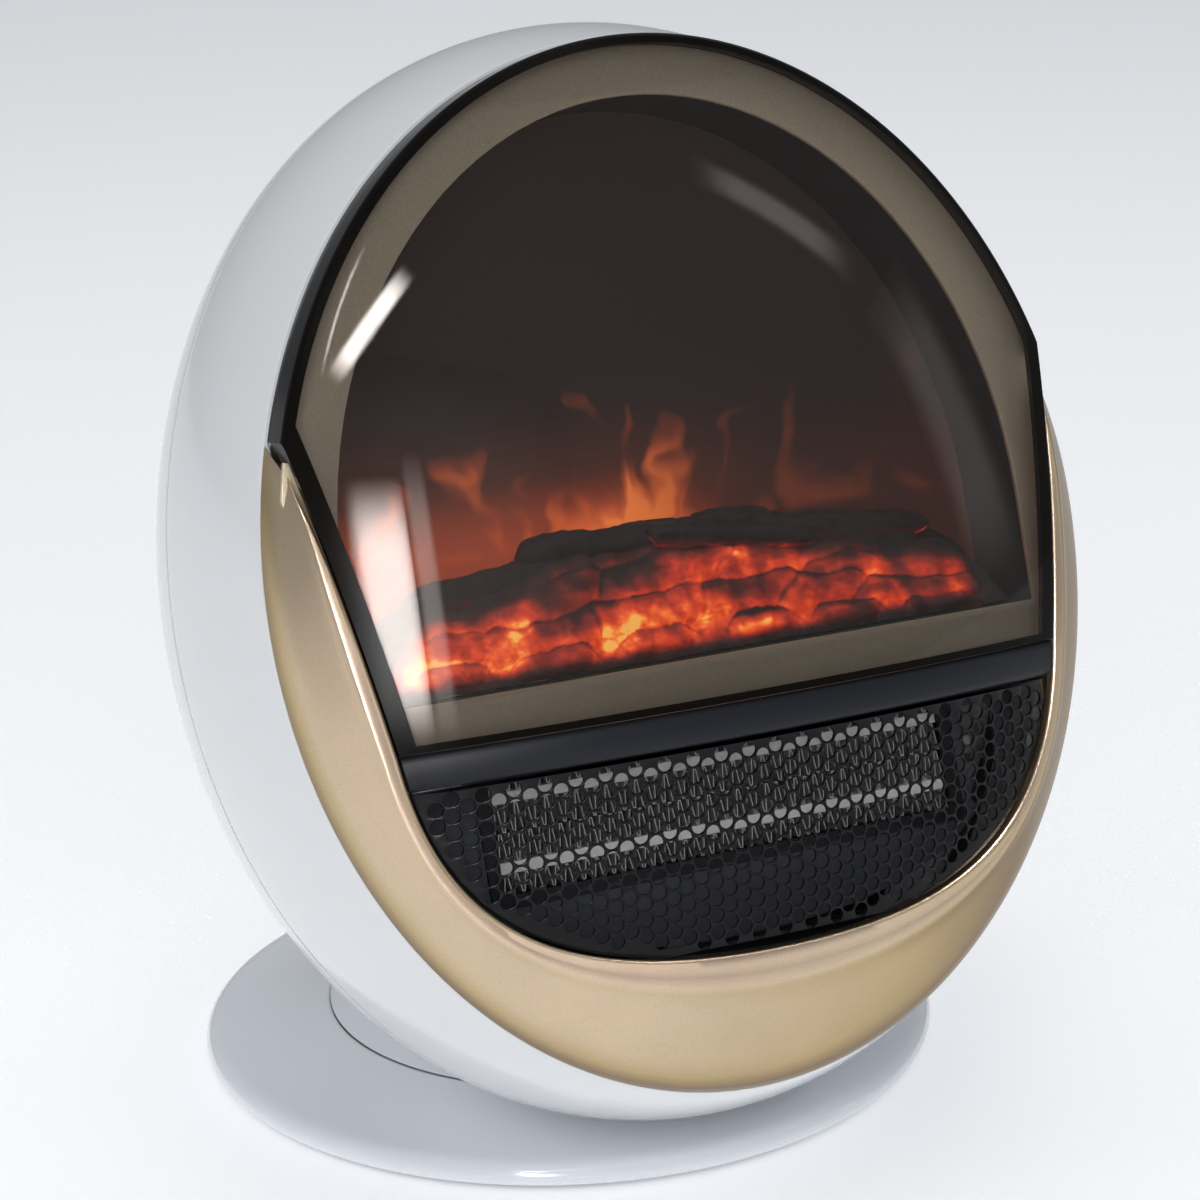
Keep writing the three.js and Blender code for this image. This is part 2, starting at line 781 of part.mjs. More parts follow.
// One section of the crescent at a point of the throat's edge.
function bandSection(inner) {
  const centre = Math.hypot(inner.x / widthShare, inner.y);
  const out = (mouthRadius - bandTrim) / centre;
  const [outX, outZ] = [inner.x * out, inner.y * out];
  const seat = -mouthForward - gap;
  const front = faceAt(inner.x, inner.y);
  const at = (across, forward, back = 0) => [
    outX + (inner.x - outX) * across,
    seat + (front - seat) * forward + back,
    outZ + (inner.y - outZ) * across,
  ];
  const face = bandFrontShares.map(([across, forward]) => at(across, forward));
  const rear = bandFrontShares.slice(1, -1).map(([across, forward]) => at(across, forward, bandWall));
  return [...face, at(1, 1, bandLip), ...rear.toReversed(), at(bandSeatShare, 0)];
}

const bandTrim = 0.1; // the crescent's outer edge inside the mouth's

function goldCrescent() {
  const path = throat(0, throatTipUp);
  const points = path.getSpacedPoints(bandColumns);
  const sections = points.map((point) => bandSection(point));
  const corners = [];
  const count = sections[0].length;
  const quad = (a, b, c, d) => corners.push(...a, ...b, ...c, ...a, ...c, ...d);
  for (let i = 0; i < sections.length - 1; i++) {
    for (let j = 0; j < count; j++) {
      const k = (j + 1) % count;
      quad(sections[i][j], sections[i][k], sections[i + 1][k], sections[i + 1][j]);
    }
  }
  for (const [section, first] of [[sections[0], true], [sections.at(-1), false]]) {
    const flat = section.map(([x, y, z]) => new THREE.Vector2(Math.hypot(x / widthShare, z), y));
    const reversed = first !== THREE.ShapeUtils.isClockWise(flat);
    for (const [a, b, c] of THREE.ShapeUtils.triangulateShape(flat, [])) {
      const order = reversed ? [c, b, a] : [a, b, c];
      order.forEach((index) => corners.push(...section[index]));
    }
  }
  const geometry = new THREE.BufferGeometry();
  geometry.setAttribute("position", new THREE.Float32BufferAttribute(corners, 3));
  return solidOf(geometry);
}

// Window: a smoked dome with a skirt that stands on the ledge.
const windowWall = 2.4;
const windowSkirt = 3; // thickness of the skirt
const windowRimOut = 0.7; // the skirt widens this much towards the ledge
const domeSteps = 4;

// The face's dome as a profile, from the middle to a radius.
function domeProfile(radius, recess) {
  const points = [];
  for (let i = 0; i <= domeSteps; i++) {
    const at = (radius * i) / domeSteps;
    points.push([at, faceAt(0, at) + recess]);
  }
  return points;
}

function windowDome() {
  const back = -mouthForward - gap;
  const whole = revolveBall([
    ...domeProfile(faceRimRadius, 0),
    [faceRimRadius + windowRimOut, back],
    [0, back],
  ]);
  const inside = faceRimRadius - windowSkirt;
  const hollow = revolveBall([
    ...domeProfile(inside, windowWall),
    [inside, overrun],
    [0, overrun],
  ]);
  return whole.subtract(hollow).intersect(throatPrism(gap, gap - barTopDown, ballRadius));
}

// Divider bar: a strip across the face with a shelf behind it.
const barWall = 3;
const barRecess = 0.5; // the bar lies this far behind the face
const barShelfBack = 50; // the shelf reaches back to this place ahead of the joint
const barColumns = 10;

function dividerBar() {
  const [low, high] = [-barTopDown - barTall, -barTopDown];
  const strip = faceSlab(throatTipWide, low, high, barColumns, 1, barRecess, barWall);
  const under = high - barWall;
  const deep = faceSlab(throatTipWide, under, high, barColumns, 1, barRecess + barWall / 2, 2 * faceBulge);
  const shelf = deep.intersect(block(-throatTipWide, throatTipWide, -ballRadius, -barShelfBack, low, high));
  return joined(strip, shelf).intersect(throatPrism(gap * 2, low, high));
}

// Grille: a perforated plate that follows the face.
const grilleRecess = 2.2;
const grilleThick = 1.6;
const grilleInset = 0.8;
const grilleMargin = 4; // plain edge round the holes
const holePitch = 13.6; // between neighbouring holes
const holeRadius = 5.3;
const holeSides = 6;
const grilleColumns = 8;

function grille() {
  const high = -barTopDown - barTall - gap;
  const low = -throatDrop;
  const rows = 3;
  const slab = faceSlab(throatTipWide, low, high, grilleColumns, rows, grilleRecess, grilleThick);
  const plate = slab.intersect(throatPrism(grilleInset, low, high));
  const edge = throat(grilleInset + grilleMargin + holeRadius / 2).getPoints(edgeSteps);
  const rowPitch = holePitch * Math.sin(fullTurn / 6);
  const holes = [];
  for (let row = 0; high - row * rowPitch > low; row++) {
    const z = high - grilleMargin - row * rowPitch;
    const shift = row % 2 ? holePitch / 2 : 0;
    const across = Math.ceil(throatBarWide / holePitch);
    for (let column = -across; column <= across; column++) {
      const x = column * holePitch + shift;
      if (insideOutline(edge, x, z)) holes.push(holeAt(x, z));
    }
  }
  return plate.subtract(solidOf(mergeGeometries(holes)));
}

// One hole's cutter, a prism that runs through the plate.
function holeAt(x, z) {
  const shape = new THREE.Shape();
  for (let i = 0; i < holeSides; i++) {
    const turn = (fullTurn * i) / holeSides;
    const [u, v] = [x + holeRadius * Math.cos(turn), z + holeRadius * Math.sin(turn)];
    if (i === 0) shape.moveTo(u, v);
    else shape.lineTo(u, v);
  }
  const options = { depth: faceBulge * 2, bevelEnabled: false };
  const geometry = new THREE.ExtrudeGeometry(shape, options).rotateX(quarterTurn);
  return geometry.translate(0, -faceForward + faceBulge / 2, 0);
}

function insideOutline(points, x, z) {
  let inside = false;
  for (let i = 0, j = points.length - 1; i < points.length; j = i++) {
    const [a, b] = [points[i], points[j]];
    if (a.y > z !== b.y > z && x < ((b.x - a.x) * (z - a.y)) / (b.y - a.y) + a.x) inside = !inside;
  }
  return inside;
}

// Flame compartment: the bronze frame with its arch, and the black box behind it.
const frameForward = 70.2; // front of the frame ahead of the joint
const frameThick = 2;
const frameFlange = 2.4;
const frameBehind = 3.6; // the frame reaches this far behind the crescent's inner edge
const archSideBorder = 20; // from the mouth's side to the arch
const archTopBorder = 16.8; // from the window's edge to the arch's crown
const archHalfWide = mouthHalfWideAt(0) - archSideBorder;
const archCrown = faceRimRadius - archTopBorder;
const archSpring = 5;
const archSill = 28.3;
const boxWall = 1.6;
const boxInset = 1.2; // the box starts this far outside the arch
const boxBack = 14; // the box ends this far ahead of the joint
const boxFrontGap = 0.3;
const screenForward = 34;
const screenThick = 1.5;
const screenInset = 0.4;

function flameFrame() {
  const outer = faceRimRadius - windowSkirt - gap;
  const front = -frameForward;
  const seat = -mouthForward - gap;
  const rim = revolveBall([
    [0, front],
    [outer, front],
    [outer, seat],
    [outer - frameFlange, seat],
    [outer - frameFlange, front + frameThick],
    [0, front + frameThick],
  ]);
  const window = prismBack(
    arch(archHalfWide, archCrown, archSpring, archSill),
    front - overrun,
    overrun,
    edgeSteps,
  );
  return rim.intersect(throatPrism(-frameBehind, gap - barTopDown, ballRadius)).subtract(window);
}

function flameBox() {
  const grown = (grow) => arch(archHalfWide + grow, archCrown + grow, archSpring, archSill + grow);
  const front = -frameForward + frameThick + boxFrontGap;
  const shell = prismBack(grown(boxInset + boxWall), front, -boxBack, edgeSteps);
  const room = prismBack(grown(boxInset), front - overrun, -boxBack - boxWall, edgeSteps);
  return shell.subtract(room);
}

function flameScreen() {
  const shrink = boxInset - screenInset;
  const shape = arch(archHalfWide + shrink, archCrown + shrink, archSpring, archSill + shrink);
  return prismBack(shape, -screenForward, -screenForward + screenThick, edgeSteps);
}

// Log bed: a translucent moulding with logs on an ember mound.
const bedFront = 66; // ahead of the joint
const bedBack = 36;
const bedInset = 1.3; // the bed ends this far inside the arch
const bedHalfWide = archHalfWide - bedInset;
const bedShares = [
  [-1, 0.14], [-0.78, 0.5], [-0.6, 0.52], [-0.42, 0.66], [-0.2, 0.7], [0, 0.78],
  [0.22, 0.74], [0.36, 0.62], [0.55, 0.48], [0.8, 0.46], [1, 0.2],
];
const bedTall = 46; // tallest log over the box's floor
const bedMoundShare = 0.62; // height of the mound's front over its back
const ledChannelWide = 14;
const ledChannelTall = 7;
const ledChannelEnd = 12;
// Each log: its middle across, its middle up and back, and its turns, as shares of the bed.
const logShares = [
  [-0.5, 0.62, 0.35, 0.35, 0.16],
  [0.02, 0.8, 0.6, 0.4, -0.06],
  [0.42, 0.66, 0.4, 0.38, -0.2],
  [-0.12, 0.46, 0.14, 0.3, 0.12],
  [0.68, 0.5, 0.5, 0.24, 0.05],
];
const logRadius = 8;
const logTaperShare = 0.72;
const logSides = 6;

function logBed() {
  const floor = -archSill - boxInset + gap;
  const depth = bedFront - bedBack;
  const slice = (tall) => outline([
    [-bedHalfWide, floor],
    [bedHalfWide, floor],
    ...bedShares.map(([across, up]) => [across * bedHalfWide, floor + up * bedTall * tall]).toReversed(),
  ]);
  const back = prismBack(slice(1), -bedBack - depth / 2, -bedBack);
  const front = prismBack(slice(bedMoundShare), -bedFront, -bedBack - depth / 2 + gap);
  const logs = logShares.map(([across, up, forward, long, turn]) => {
    const length = 2 * long * bedHalfWide;
    const form = new THREE.CylinderGeometry(logRadius, logRadius * logTaperShare, length, logSides);
    form.rotateZ(quarterTurn + turn);
    return solidOf(form.translate(across * bedHalfWide, -bedBack - forward * depth, floor + up * bedTall - logRadius));
  });
  const limit = 2 * ballRadius;
  const space = block(-bedHalfWide, bedHalfWide, -bedFront, -bedBack, floor, limit);
  const channel = block(
    ledChannelEnd - bedHalfWide, bedHalfWide - ledChannelEnd,
    -(bedFront + bedBack + ledChannelWide) / 2, -(bedFront + bedBack - ledChannelWide) / 2,
    floor - overrun, floor + ledChannelTall,
  );
  return joined(back, front, ...logs).intersect(space).subtract(channel);
}

// LED board under the log bed.
const ledBoardThick = 1.6;
const ledCount = 8;
const ledSize = 3.5;
const ledTall = 1.4;

function ledBoard() {
  const long = 2 * (bedHalfWide - ledChannelEnd - gap);
  const wide = ledChannelWide - 2 * gap;
  const low = -archSill - boxInset + gap;
  const middle = -(bedFront + bedBack) / 2;
  const board = block(-long / 2, long / 2, middle - wide / 2, middle + wide / 2, low, low + ledBoardThick);
  const lights = Array.from({ length: ledCount }, (_, i) => {
    const x = -long / 2 + (long * (i + 0.5)) / ledCount;
    const [y, top] = [middle, low + ledBoardThick + ledTall];
    return block(x - ledSize / 2, x + ledSize / 2, y - ledSize / 2, y + ledSize / 2, low, top);
  });
  return joined(board, ...lights);
}

// Flame spinner: a rod with bright vanes behind the screen, and its motor.
const spinnerForward = 24;
const spinnerDown = 14; // rod under the ball's axis
const spinnerRod = 1.5;
const vaneCount = 7;
const vaneReach = 7.5;
const vaneThick = 0.8;
const vaneLong = 22;
const spinnerMotorRadius = 8;
const spinnerMotorLong = 20;
const spinnerMotorInset = 2; // the motor's end from the box's wall

const boxInnerWide = archHalfWide + boxInset;
const spinnerMotorLeft = boxInnerWide - gap - spinnerMotorLong;

function flameSpinner() {
  const left = -boxInnerWide + gap;
  const right = spinnerMotorLeft - gap;
  const rod = prismAcross(disc(spinnerRod), left, right);
  const pitch = (right - left - vaneLong) / (vaneCount - 1);
  const vanes = Array.from({ length: vaneCount }, (_, i) => {
    const from = left + spinnerMotorInset + i * (pitch - spinnerMotorInset / (vaneCount - 1) * 2);
    const vane = rectangle(2 * vaneReach, vaneThick);
    const turn = new THREE.Matrix4().makeRotationX((halfTurn * i) / vaneCount);
    return moved(prismAcross(vane, from, from + vaneLong), turn);
  });
  return joined(rod, ...vanes);
}

function spinnerMotor() {
  const can = prismAcross(disc(spinnerMotorRadius), 0, spinnerMotorLong, smallSteps / 2);
  const floor = -archSill - boxInset + gap + spinnerDown;
  const foot = block(0, spinnerMotorLong, -spinnerMotorRadius, spinnerMotorRadius, floor, 0);
  return joined(can, foot);
}

// Heat shield between the flame compartment and the heater.
const shieldThick = 1.5;
const shieldInset = 11.3; // the shield ends this far inside the arch
const shieldHalfWide = archHalfWide - shieldInset;
const shieldFront = 49;
const shieldBack = -20; // behind the joint
const shieldHemDrop = 6;

function heatShield() {
  const top = -archSill - boxInset - boxWall - gap;
  return prismAcross(
    outline([
      [-shieldFront, top],
      [-shieldFront, top - shieldHemDrop],
      [-shieldFront + shieldThick, top - shieldHemDrop],
      [-shieldFront + shieldThick, top - shieldThick],
      [-shieldBack, top - shieldThick],
      [-shieldBack, top],
    ]),
    -shieldHalfWide,
    shieldHalfWide,
  );
}

// Heater element: two ceramic bars between four rows of folded fins, in a frame.
const elementFront = 62; // front of the element ahead of the joint
const elementDeep = 14;
const elementSideRoom = 31.3; // from the opening's side to the element
const elementHalfLong = throatBarWide - elementSideRoom;
const elementMiddle = 67.8; // middle of the element under the ball's axis
const barHeight = 3.2;
const innerFins = 7.9; // height of a fin row between the bars
const outerFins = 5.4; // height of a fin row outside them
const finFolds = 11;
const finFoil = 1.1;
const frameBorder = 4;
const frameDeep = 17;
const hangerWide = 14; // tabs that hang the frame under the bar's shelf
const hangerInset = 24; // from the element's end to the tabs
const hangerSide = elementHalfLong - hangerInset;
const hangerDeep = 6;
const elementGap = gap;

// Heights of the bars and fin rows from the element's middle.
const innerMiddle = (innerFins + elementGap) / 2;
const barMiddle = innerFins + elementGap * 1.5 + barHeight / 2;
const outerMiddle = barMiddle + barHeight / 2 + elementGap + outerFins / 2;
const stackHalf = outerMiddle + outerFins / 2;
const finRows = [
  ["top", outerFins, outerMiddle],
  ["upper", innerFins, innerMiddle],
  ["lower", innerFins, -innerMiddle],
  ["bottom", outerFins, -outerMiddle],
];

function finRow(height) {
  const half = height / 2 - finFoil / 2;
  const places = Array.from({ length: 2 * finFolds + 1 }, (_, i) => [
    -elementHalfLong + gap + ((elementHalfLong - gap) * i) / finFolds,
    i % 2 ? half : -half,
  ]);
  const upper = places.map(([x, z]) => [x, z + finFoil / 2]);
  const lower = places.map(([x, z]) => [x, z - finFoil / 2]);
  return prismBack(outline([...lower, ...upper.toReversed()]), 0, elementDeep);
}

function heaterBar() {
  return block(
    -elementHalfLong + gap, elementHalfLong - gap, 0, elementDeep, -barHeight / 2, barHeight / 2,
  );
}

function elementFrame() {
  const wide = 2 * (elementHalfLong + frameBorder);
  const tall = 2 * (stackHalf + elementGap + frameBorder);
  const room = rectangle(2 * elementHalfLong, 2 * (stackHalf + elementGap));
  const frame = prismBack(rectangle(wide, tall), 0, frameDeep);
  const reach = elementMiddle - barTopDown - barWall - gap;
  const hangers = [-hangerSide, hangerSide].map((x) =>
    block(x - hangerWide / 2, x + hangerWide / 2, 0, hangerDeep, tall / 2 - frameBorder / 2, reach),
  );
  return joined(frame, ...hangers).subtract(prismBack(room, -overrun, frameDeep + overrun));
}

// Thermal cut-out: a round can with two tags on the element's frame.
const cutoutRadius = 7;
const cutoutTall = 6;
const tagWide = 4;
const tagTall = 7;
const tagThick = 0.8;
const cutoutOut = 12; // beside the element's end
const cutoutSide = elementHalfLong + cutoutOut;

function thermalCutout() {
  const can = revolveUp([[0, 0], [cutoutRadius, 0], [cutoutRadius, cutoutTall], [0, cutoutTall]], smallSteps);
  const reach = cutoutRadius / 2;
  const tags = [-reach, reach].map((x) =>
    block(x - tagWide / 2, x + tagWide / 2, -tagThick / 2, tagThick / 2, cutoutTall - tagThick, cutoutTall + tagTall),
  );
  return joined(can, ...tags);
}

// Cross-flow fan: rotor, scroll housing, bush and motor.
const fanBack = -6; // rotor axis ahead of (minus) the joint
const fanDown = 80; // rotor axis under the ball's axis
const rotorRadius = 27;
const rotorEndInset = 4; // the rotor's free end inside the element's end
const rotorMotorRoom = 14; // its driven end leaves this much to the motor
const rotorLeft = rotorEndInset - elementHalfLong;
const rotorRight = elementHalfLong - rotorMotorRoom;
const rotorDisc = 2;
const rotorShaft = 3;
const bladeCount = 12;
const bladeInner = 20;
const bladeThick = 1.1;
const bladeSweep = 0.34; // angle between a blade's outer and inner edge
const bladeBow = 1.8;
const scrollGap = 3;
const scrollGrowth = 8;
const scrollWall = 1.6;
const scrollSteps = 9;
const scrollStartDegrees = 20;
const scrollEndDegrees = -118;
const housingSide = 3; // rotor's end to the side plate
const outletForward = 46.2; // mouth of the housing ahead of the joint
const outletTopDown = 46; // upper lip under the ball's axis
const outletFloorDown = 89; // lower lip
const tongueForward = 20; // the upper wall ends here, over the rotor
const tongueDown = 49;
const bushLong = 5;
const bushRadius = 7;
const fanMotorRadius = 22;
const fanMotorLong = 26;
const fanMotorBevel = 3;
const fanMotorBoss = 8;

function blade() {
  const edge = (radius, turn, thick) => {
    const [c, s] = [Math.cos(turn), Math.sin(turn)];
    return [radius * c - thick * s, radius * s + thick * c];
  };
  const middle = (bladeInner + rotorRadius) / 2;
  const half = bladeThick / 2;
  const outer = rotorRadius - gap;
  return outline([
    edge(bladeInner, bladeSweep, -half),
    edge(middle, bladeSweep / 2, -half + bladeBow),
    edge(outer, 0, -half),
    edge(outer, 0, half),
    edge(middle, bladeSweep / 2, half + bladeBow),
    edge(bladeInner, bladeSweep, half),
  ]);
}

function rotor() {
  const row = Array.from({ length: bladeCount }, (_, i) => {
    const turn = new THREE.Matrix4().makeRotationX((fullTurn * i) / bladeCount);
    return moved(prismAcross(blade(), rotorLeft + rotorDisc / 2, rotorRight - rotorDisc / 2), turn);
  });
  const discs = [
    prismAcross(disc(rotorRadius), rotorLeft, rotorLeft + rotorDisc, smallSteps),
    prismAcross(disc(rotorRadius), rotorRight - rotorDisc, rotorRight, smallSteps),
  ];
  const shafts = [
    prismAcross(disc(rotorShaft), rotorLeft - housingSide - bushLong, rotorLeft + rotorDisc / 2),
    prismAcross(disc(rotorShaft), rotorRight - rotorDisc / 2, rotorRight + housingSide + scrollWall),
  ];
  return joined(...discs, ...row, ...shafts);
}

// Points of the scroll round the rotor's axis, pushed out by an offset.
function scrollPoints(offset) {
  const [start, end] = [scrollStartDegrees, scrollEndDegrees].map(THREE.MathUtils.degToRad);
  return Array.from({ length: scrollSteps + 1 }, (_, i) => {
    const turn = start + ((end - start) * i) / scrollSteps;
    const radius = rotorRadius + scrollGap + (scrollGrowth * i) / scrollSteps + offset;
    return [fanBack * -1 * -1 + radius * Math.cos(turn), -fanDown + radius * Math.sin(turn)];
  });
}

function fanHousing() {
  const inner = scrollPoints(0);
  const outer = scrollPoints(scrollWall);
  const lip = -outletFloorDown;
  const left = rotorLeft - housingSide - scrollWall;
  const right = rotorRight + housingSide + scrollWall;
  const scroll = outline([
    ...inner,
    [-outletForward, lip],
    [-outletForward, lip - scrollWall],
    ...outer.toReversed(),
  ]);
  const upper = outline([
    [-outletForward, -outletTopDown],
    [-outletForward, -outletTopDown - scrollWall],
    [-tongueForward, -tongueDown - scrollWall],
    [-tongueForward, -tongueDown],
  ]);
  const side = outline([
    ...outer,
    [-outletForward, lip - scrollWall],
    [-outletForward, -outletTopDown],
    [-tongueForward, -tongueDown],
  ]);
  const walls = [prismAcross(scroll, left, right), prismAcross(upper, left, right)];
  const sides = [
    prismAcross(side, left, left + scrollWall),
    prismAcross(side, right - scrollWall, right),
  ];
  const bore = prismAcross(disc(rotorShaft + gap, fanBack, -fanDown), left - overrun, right + overrun);
  return joined(...walls, ...sides).subtract(bore);
}

function rotorBush() {
  const ring = disc(bushRadius);
  ring.holes.push(new THREE.Path().absarc(0, 0, rotorShaft + gap, 0, fullTurn, true));
  return prismAcross(ring, 0, bushLong);
}

function fanMotor() {
  const profile = [
    [0, 0],
    [fanMotorBoss, 0],
    [fanMotorBoss, fanMotorBevel],
    [fanMotorRadius, fanMotorBevel],
    [fanMotorRadius, fanMotorLong - fanMotorBevel],
    [fanMotorRadius - fanMotorBevel, fanMotorLong],
    [0, fanMotorLong],
  ];
  return moved(revolveUp(profile, smallSteps), new THREE.Matrix4().makeRotationY(quarterTurn));
}

// Control panel with a thermostat knob and two rocker switches.
const knobSide = -26; // knob left of the middle
const knobRadius = 13;
const knobTall = 12;
const knobBevel = 1.2;
const knobShaft = 3;
const knobGripWide = 6;
const knobGripTall = 4;
const thermostatWide = 26;
const thermostatTall = 22;
const thermostatDeep = 13;
const rockerSides = [8, 30]; // both rockers' middles across
const rockerWide = 13;
const rockerRadius = 10; // the rocker's ends run on this radius
const rockerPivotOut = 1; // pivot over the panel's floor
const rockerCrown = 3; // middle of the rocker's top over the pivot
const rockerEndUp = 5.1;
const rockerUnder = 4;
const rockerFit = 0.4;
const rockerTiltDegrees = 12;
const switchDeep = 16;
const switchWell = 7; // depth of the switch's well
const switchWall = 1.2;

function panelHoleShapes() {
  const knob = disc(knobShaft + gap, knobSide, panelUp);
  const rockers = rockerSides.map((x) =>
    rectangle(rockerWide + 2 * rockerFit, 2 * (rockerRadius + rockerFit), x, panelUp),
  );
  return [knob, ...rockers];
}

function controlPanel() {
  const back = panelFloor - panelThick;
  const far = widestBehindSeam + rearReach;
  const outer = roundedRectangle(panelWide, panelTall, panelCorner, 0, panelUp);
  const pocket = roundedRectangle(
    panelWide - 2 * panelBorder, panelTall - 2 * panelBorder, panelCorner - panelBorder / 2, 0, panelUp,
  );
  const plug = prismBack(outer, back, far + overrun, 3).intersect(ballSolid(0, 0, false));
  const room = prismBack(pocket, panelFloor, far + overrun, 3);
  return plug.subtract(room).subtract(prismBack(panelHoleShapes(), back - overrun, far));
}

// Knob, its own axis upright before it is turned to face back.
function thermostatKnob() {
  const cap = revolveUp(
    [
      [0, gap],
      [knobRadius, gap],
      [knobRadius, knobTall - knobGripTall - knobBevel],
      [knobRadius - knobBevel, knobTall - knobGripTall],
      [0, knobTall - knobGripTall],
    ],
    smallSteps,
  );
  const grip = prismUp(stadium(2 * (knobRadius - knobBevel), knobGripWide), gap * 2, knobTall, 4);
  const shaft = prismUp(disc(knobShaft), -panelThick, gap * 2);
  return joined(cap, grip, shaft);
}

function thermostatBody() {
  const back = panelFloor - panelThick - gap;
  const box = rectangle(thermostatWide, thermostatTall, knobSide, panelUp);
  return prismBack(box, back - thermostatDeep, back);
}

function rocker() {
  const end = Math.sqrt(rockerRadius ** 2 - rockerEndUp ** 2);
  const foot = Math.sqrt(rockerRadius ** 2 - rockerUnder ** 2);
  return prismAcross(
    outline([
      [rockerCrown, 0],
      [rockerEndUp, end],
      [rockerEndUp / 2, Math.sqrt(rockerRadius ** 2 - (rockerEndUp / 2) ** 2)],
      [0, rockerRadius],
      [-rockerUnder, foot],
      [-rockerUnder, -foot],
      [0, -rockerRadius],
      [rockerEndUp / 2, -Math.sqrt(rockerRadius ** 2 - (rockerEndUp / 2) ** 2)],
      [rockerEndUp, -end],
    ]),
    -rockerWide / 2,
    rockerWide / 2,
  );
}

function switchBody(side) {
  const front = panelFloor - panelThick - gap;
  const well = [rockerWide + 2 * rockerFit, 2 * (rockerRadius + rockerFit)];
  const [wide, tall] = well.map((size) => size + 2 * switchWall);
  const body = prismBack(rectangle(wide, tall, side, panelUp), front - switchDeep, front);
  return body.subtract(prismBack(rectangle(...well, side, panelUp), front - switchWell, front + overrun));
}

// The base: everything that stands still.
function baseGroup() {
  const group = new THREE.Group();
  group.add(piece("base_disc", baseDisc(), finishes.base));
  group.add(piece("base_plate", basePlate(), finishes.darkPlastic));
  footPlaces().forEach(([x, y], i) => {
    group.add(placed(piece("foot_" + (i + 1), foot(), finishes.rubber), x, y, 0));
  });
  group.add(placed(piece("tip_plunger", tipPlunger(), finishes.nylon), 0, -plungerForward, 0));
  group.add(piece("tip_switch", tipSwitch(), finishes.darkPlastic));
  group.add(piece("glide_ring", glideRing(), finishes.nylon));
  group.add(piece("clip_ring", clipRing(), finishes.steel));
  return group;
}

// The neck: it turns with the body.
function neckGroup() {
  const group = new THREE.Group();
  group.add(piece("swivel_neck", swivelNeck(), finishes.base));
  const motor = piece("oscillation_motor", flatMotor(), finishes.steel);
  group.add(placed(motor, 0, crankCentre, turntableTop + gap));
  group.add(placed(piece("crank_arm", crank(), finishes.nylon), 0, crankCentre, 0));
  const gland = piece("cord_gland", cordGland(), finishes.darkPlastic);
  gland.applyMatrix4(glandPlace());
  group.add(gland);
  return group;
}

// The heater element and its fan, low in the body.
function heaterGroup() {
  const group = new THREE.Group();
  const element = new THREE.Group();
  element.position.set(0, -elementFront, -elementMiddle);
  const frame = piece("element_frame", elementFrame(), finishes.porcelain);
  element.add(placed(frame, 0, (elementDeep - frameDeep) / 2, 0));
  for (const [word, height, middle] of finRows) {
    element.add(placed(piece("fin_row_" + word, finRow(height), finishes.aluminium), 0, 0, middle));
  }
  element.add(placed(piece("heater_bar_upper", heaterBar(), finishes.porcelain), 0, 0, barMiddle));
  element.add(placed(piece("heater_bar_lower", heaterBar(), finishes.porcelain), 0, 0, -barMiddle));
  group.add(element);
  const cutout = piece("thermal_cutout", thermalCutout(), finishes.steel);
  cutout.rotation.y = quarterTurn;
  const cutoutX = elementHalfLong + frameBorder + gap;
  group.add(placed(cutout, cutoutX, elementDeep / 2 - elementFront, -elementMiddle));
  group.add(piece("fan_housing", fanHousing(), finishes.darkPlastic));
  const fan = new THREE.Group();
  fan.position.set(0, fanBack, -fanDown);
  fan.add(piece("fan_rotor", rotor(), finishes.impeller));
  const bushLeft = rotorLeft - housingSide - scrollWall - gap - bushLong;
  fan.add(placed(piece("rotor_bush", rotorBush(), finishes.rubber), bushLeft, 0, 0));
  const motorLeft = rotorRight + housingSide + scrollWall + gap;
  fan.add(placed(piece("fan_motor", fanMotor(), finishes.steel), motorLeft, 0, 0));
  group.add(fan);
  return group;
}

// The flame effect, high in the body.
function flameGroup() {
  const group = new THREE.Group();
  group.add(piece("flame_frame", flameFrame(), finishes.taupe));
  group.add(piece("flame_box", flameBox(), finishes.darkPlastic));
  group.add(piece("flame_screen", flameScreen(), finishes.screen));
  group.add(piece("log_bed", logBed(), finishes.ember));
  group.add(piece("led_board", ledBoard(), finishes.board));
  const spinner = new THREE.Group();
  spinner.position.set(0, -spinnerForward, -spinnerDown);
  spinner.add(piece("flame_spinner", flameSpinner(), finishes.aluminium));
  spinner.add(placed(piece("spinner_motor", spinnerMotor(), finishes.steel), spinnerMotorLeft, 0, 0));
  group.add(spinner);
  group.add(piece("heat_shield", heatShield(), finishes.steel));
  return group;
}

// The control panel on the back.
function controlGroup() {
  const group = new THREE.Group();
  group.add(piece("control_panel", controlPanel(), finishes.darkPlastic));
  group.add(piece("thermostat", thermostatBody(), finishes.porcelain));
  const knob = piece("thermostat_knob", thermostatKnob(), finishes.shell);
  knob.rotation.x = -quarterTurn;
  group.add(placed(knob, knobSide, panelFloor, panelUp));
  ["heat", "swing"].forEach((word, i) => {
    const button = piece("rocker_" + word, rocker(), finishes.glossBlack);
    button.rotation.x = i ? -THREE.MathUtils.degToRad(rockerTiltDegrees) : 0;
    group.add(placed(button, rockerSides[i], panelFloor + rockerPivotOut, panelUp));
    group.add(piece("switch_" + word, switchBody(rockerSides[i]), finishes.darkPlastic));
  });
  return group;
}

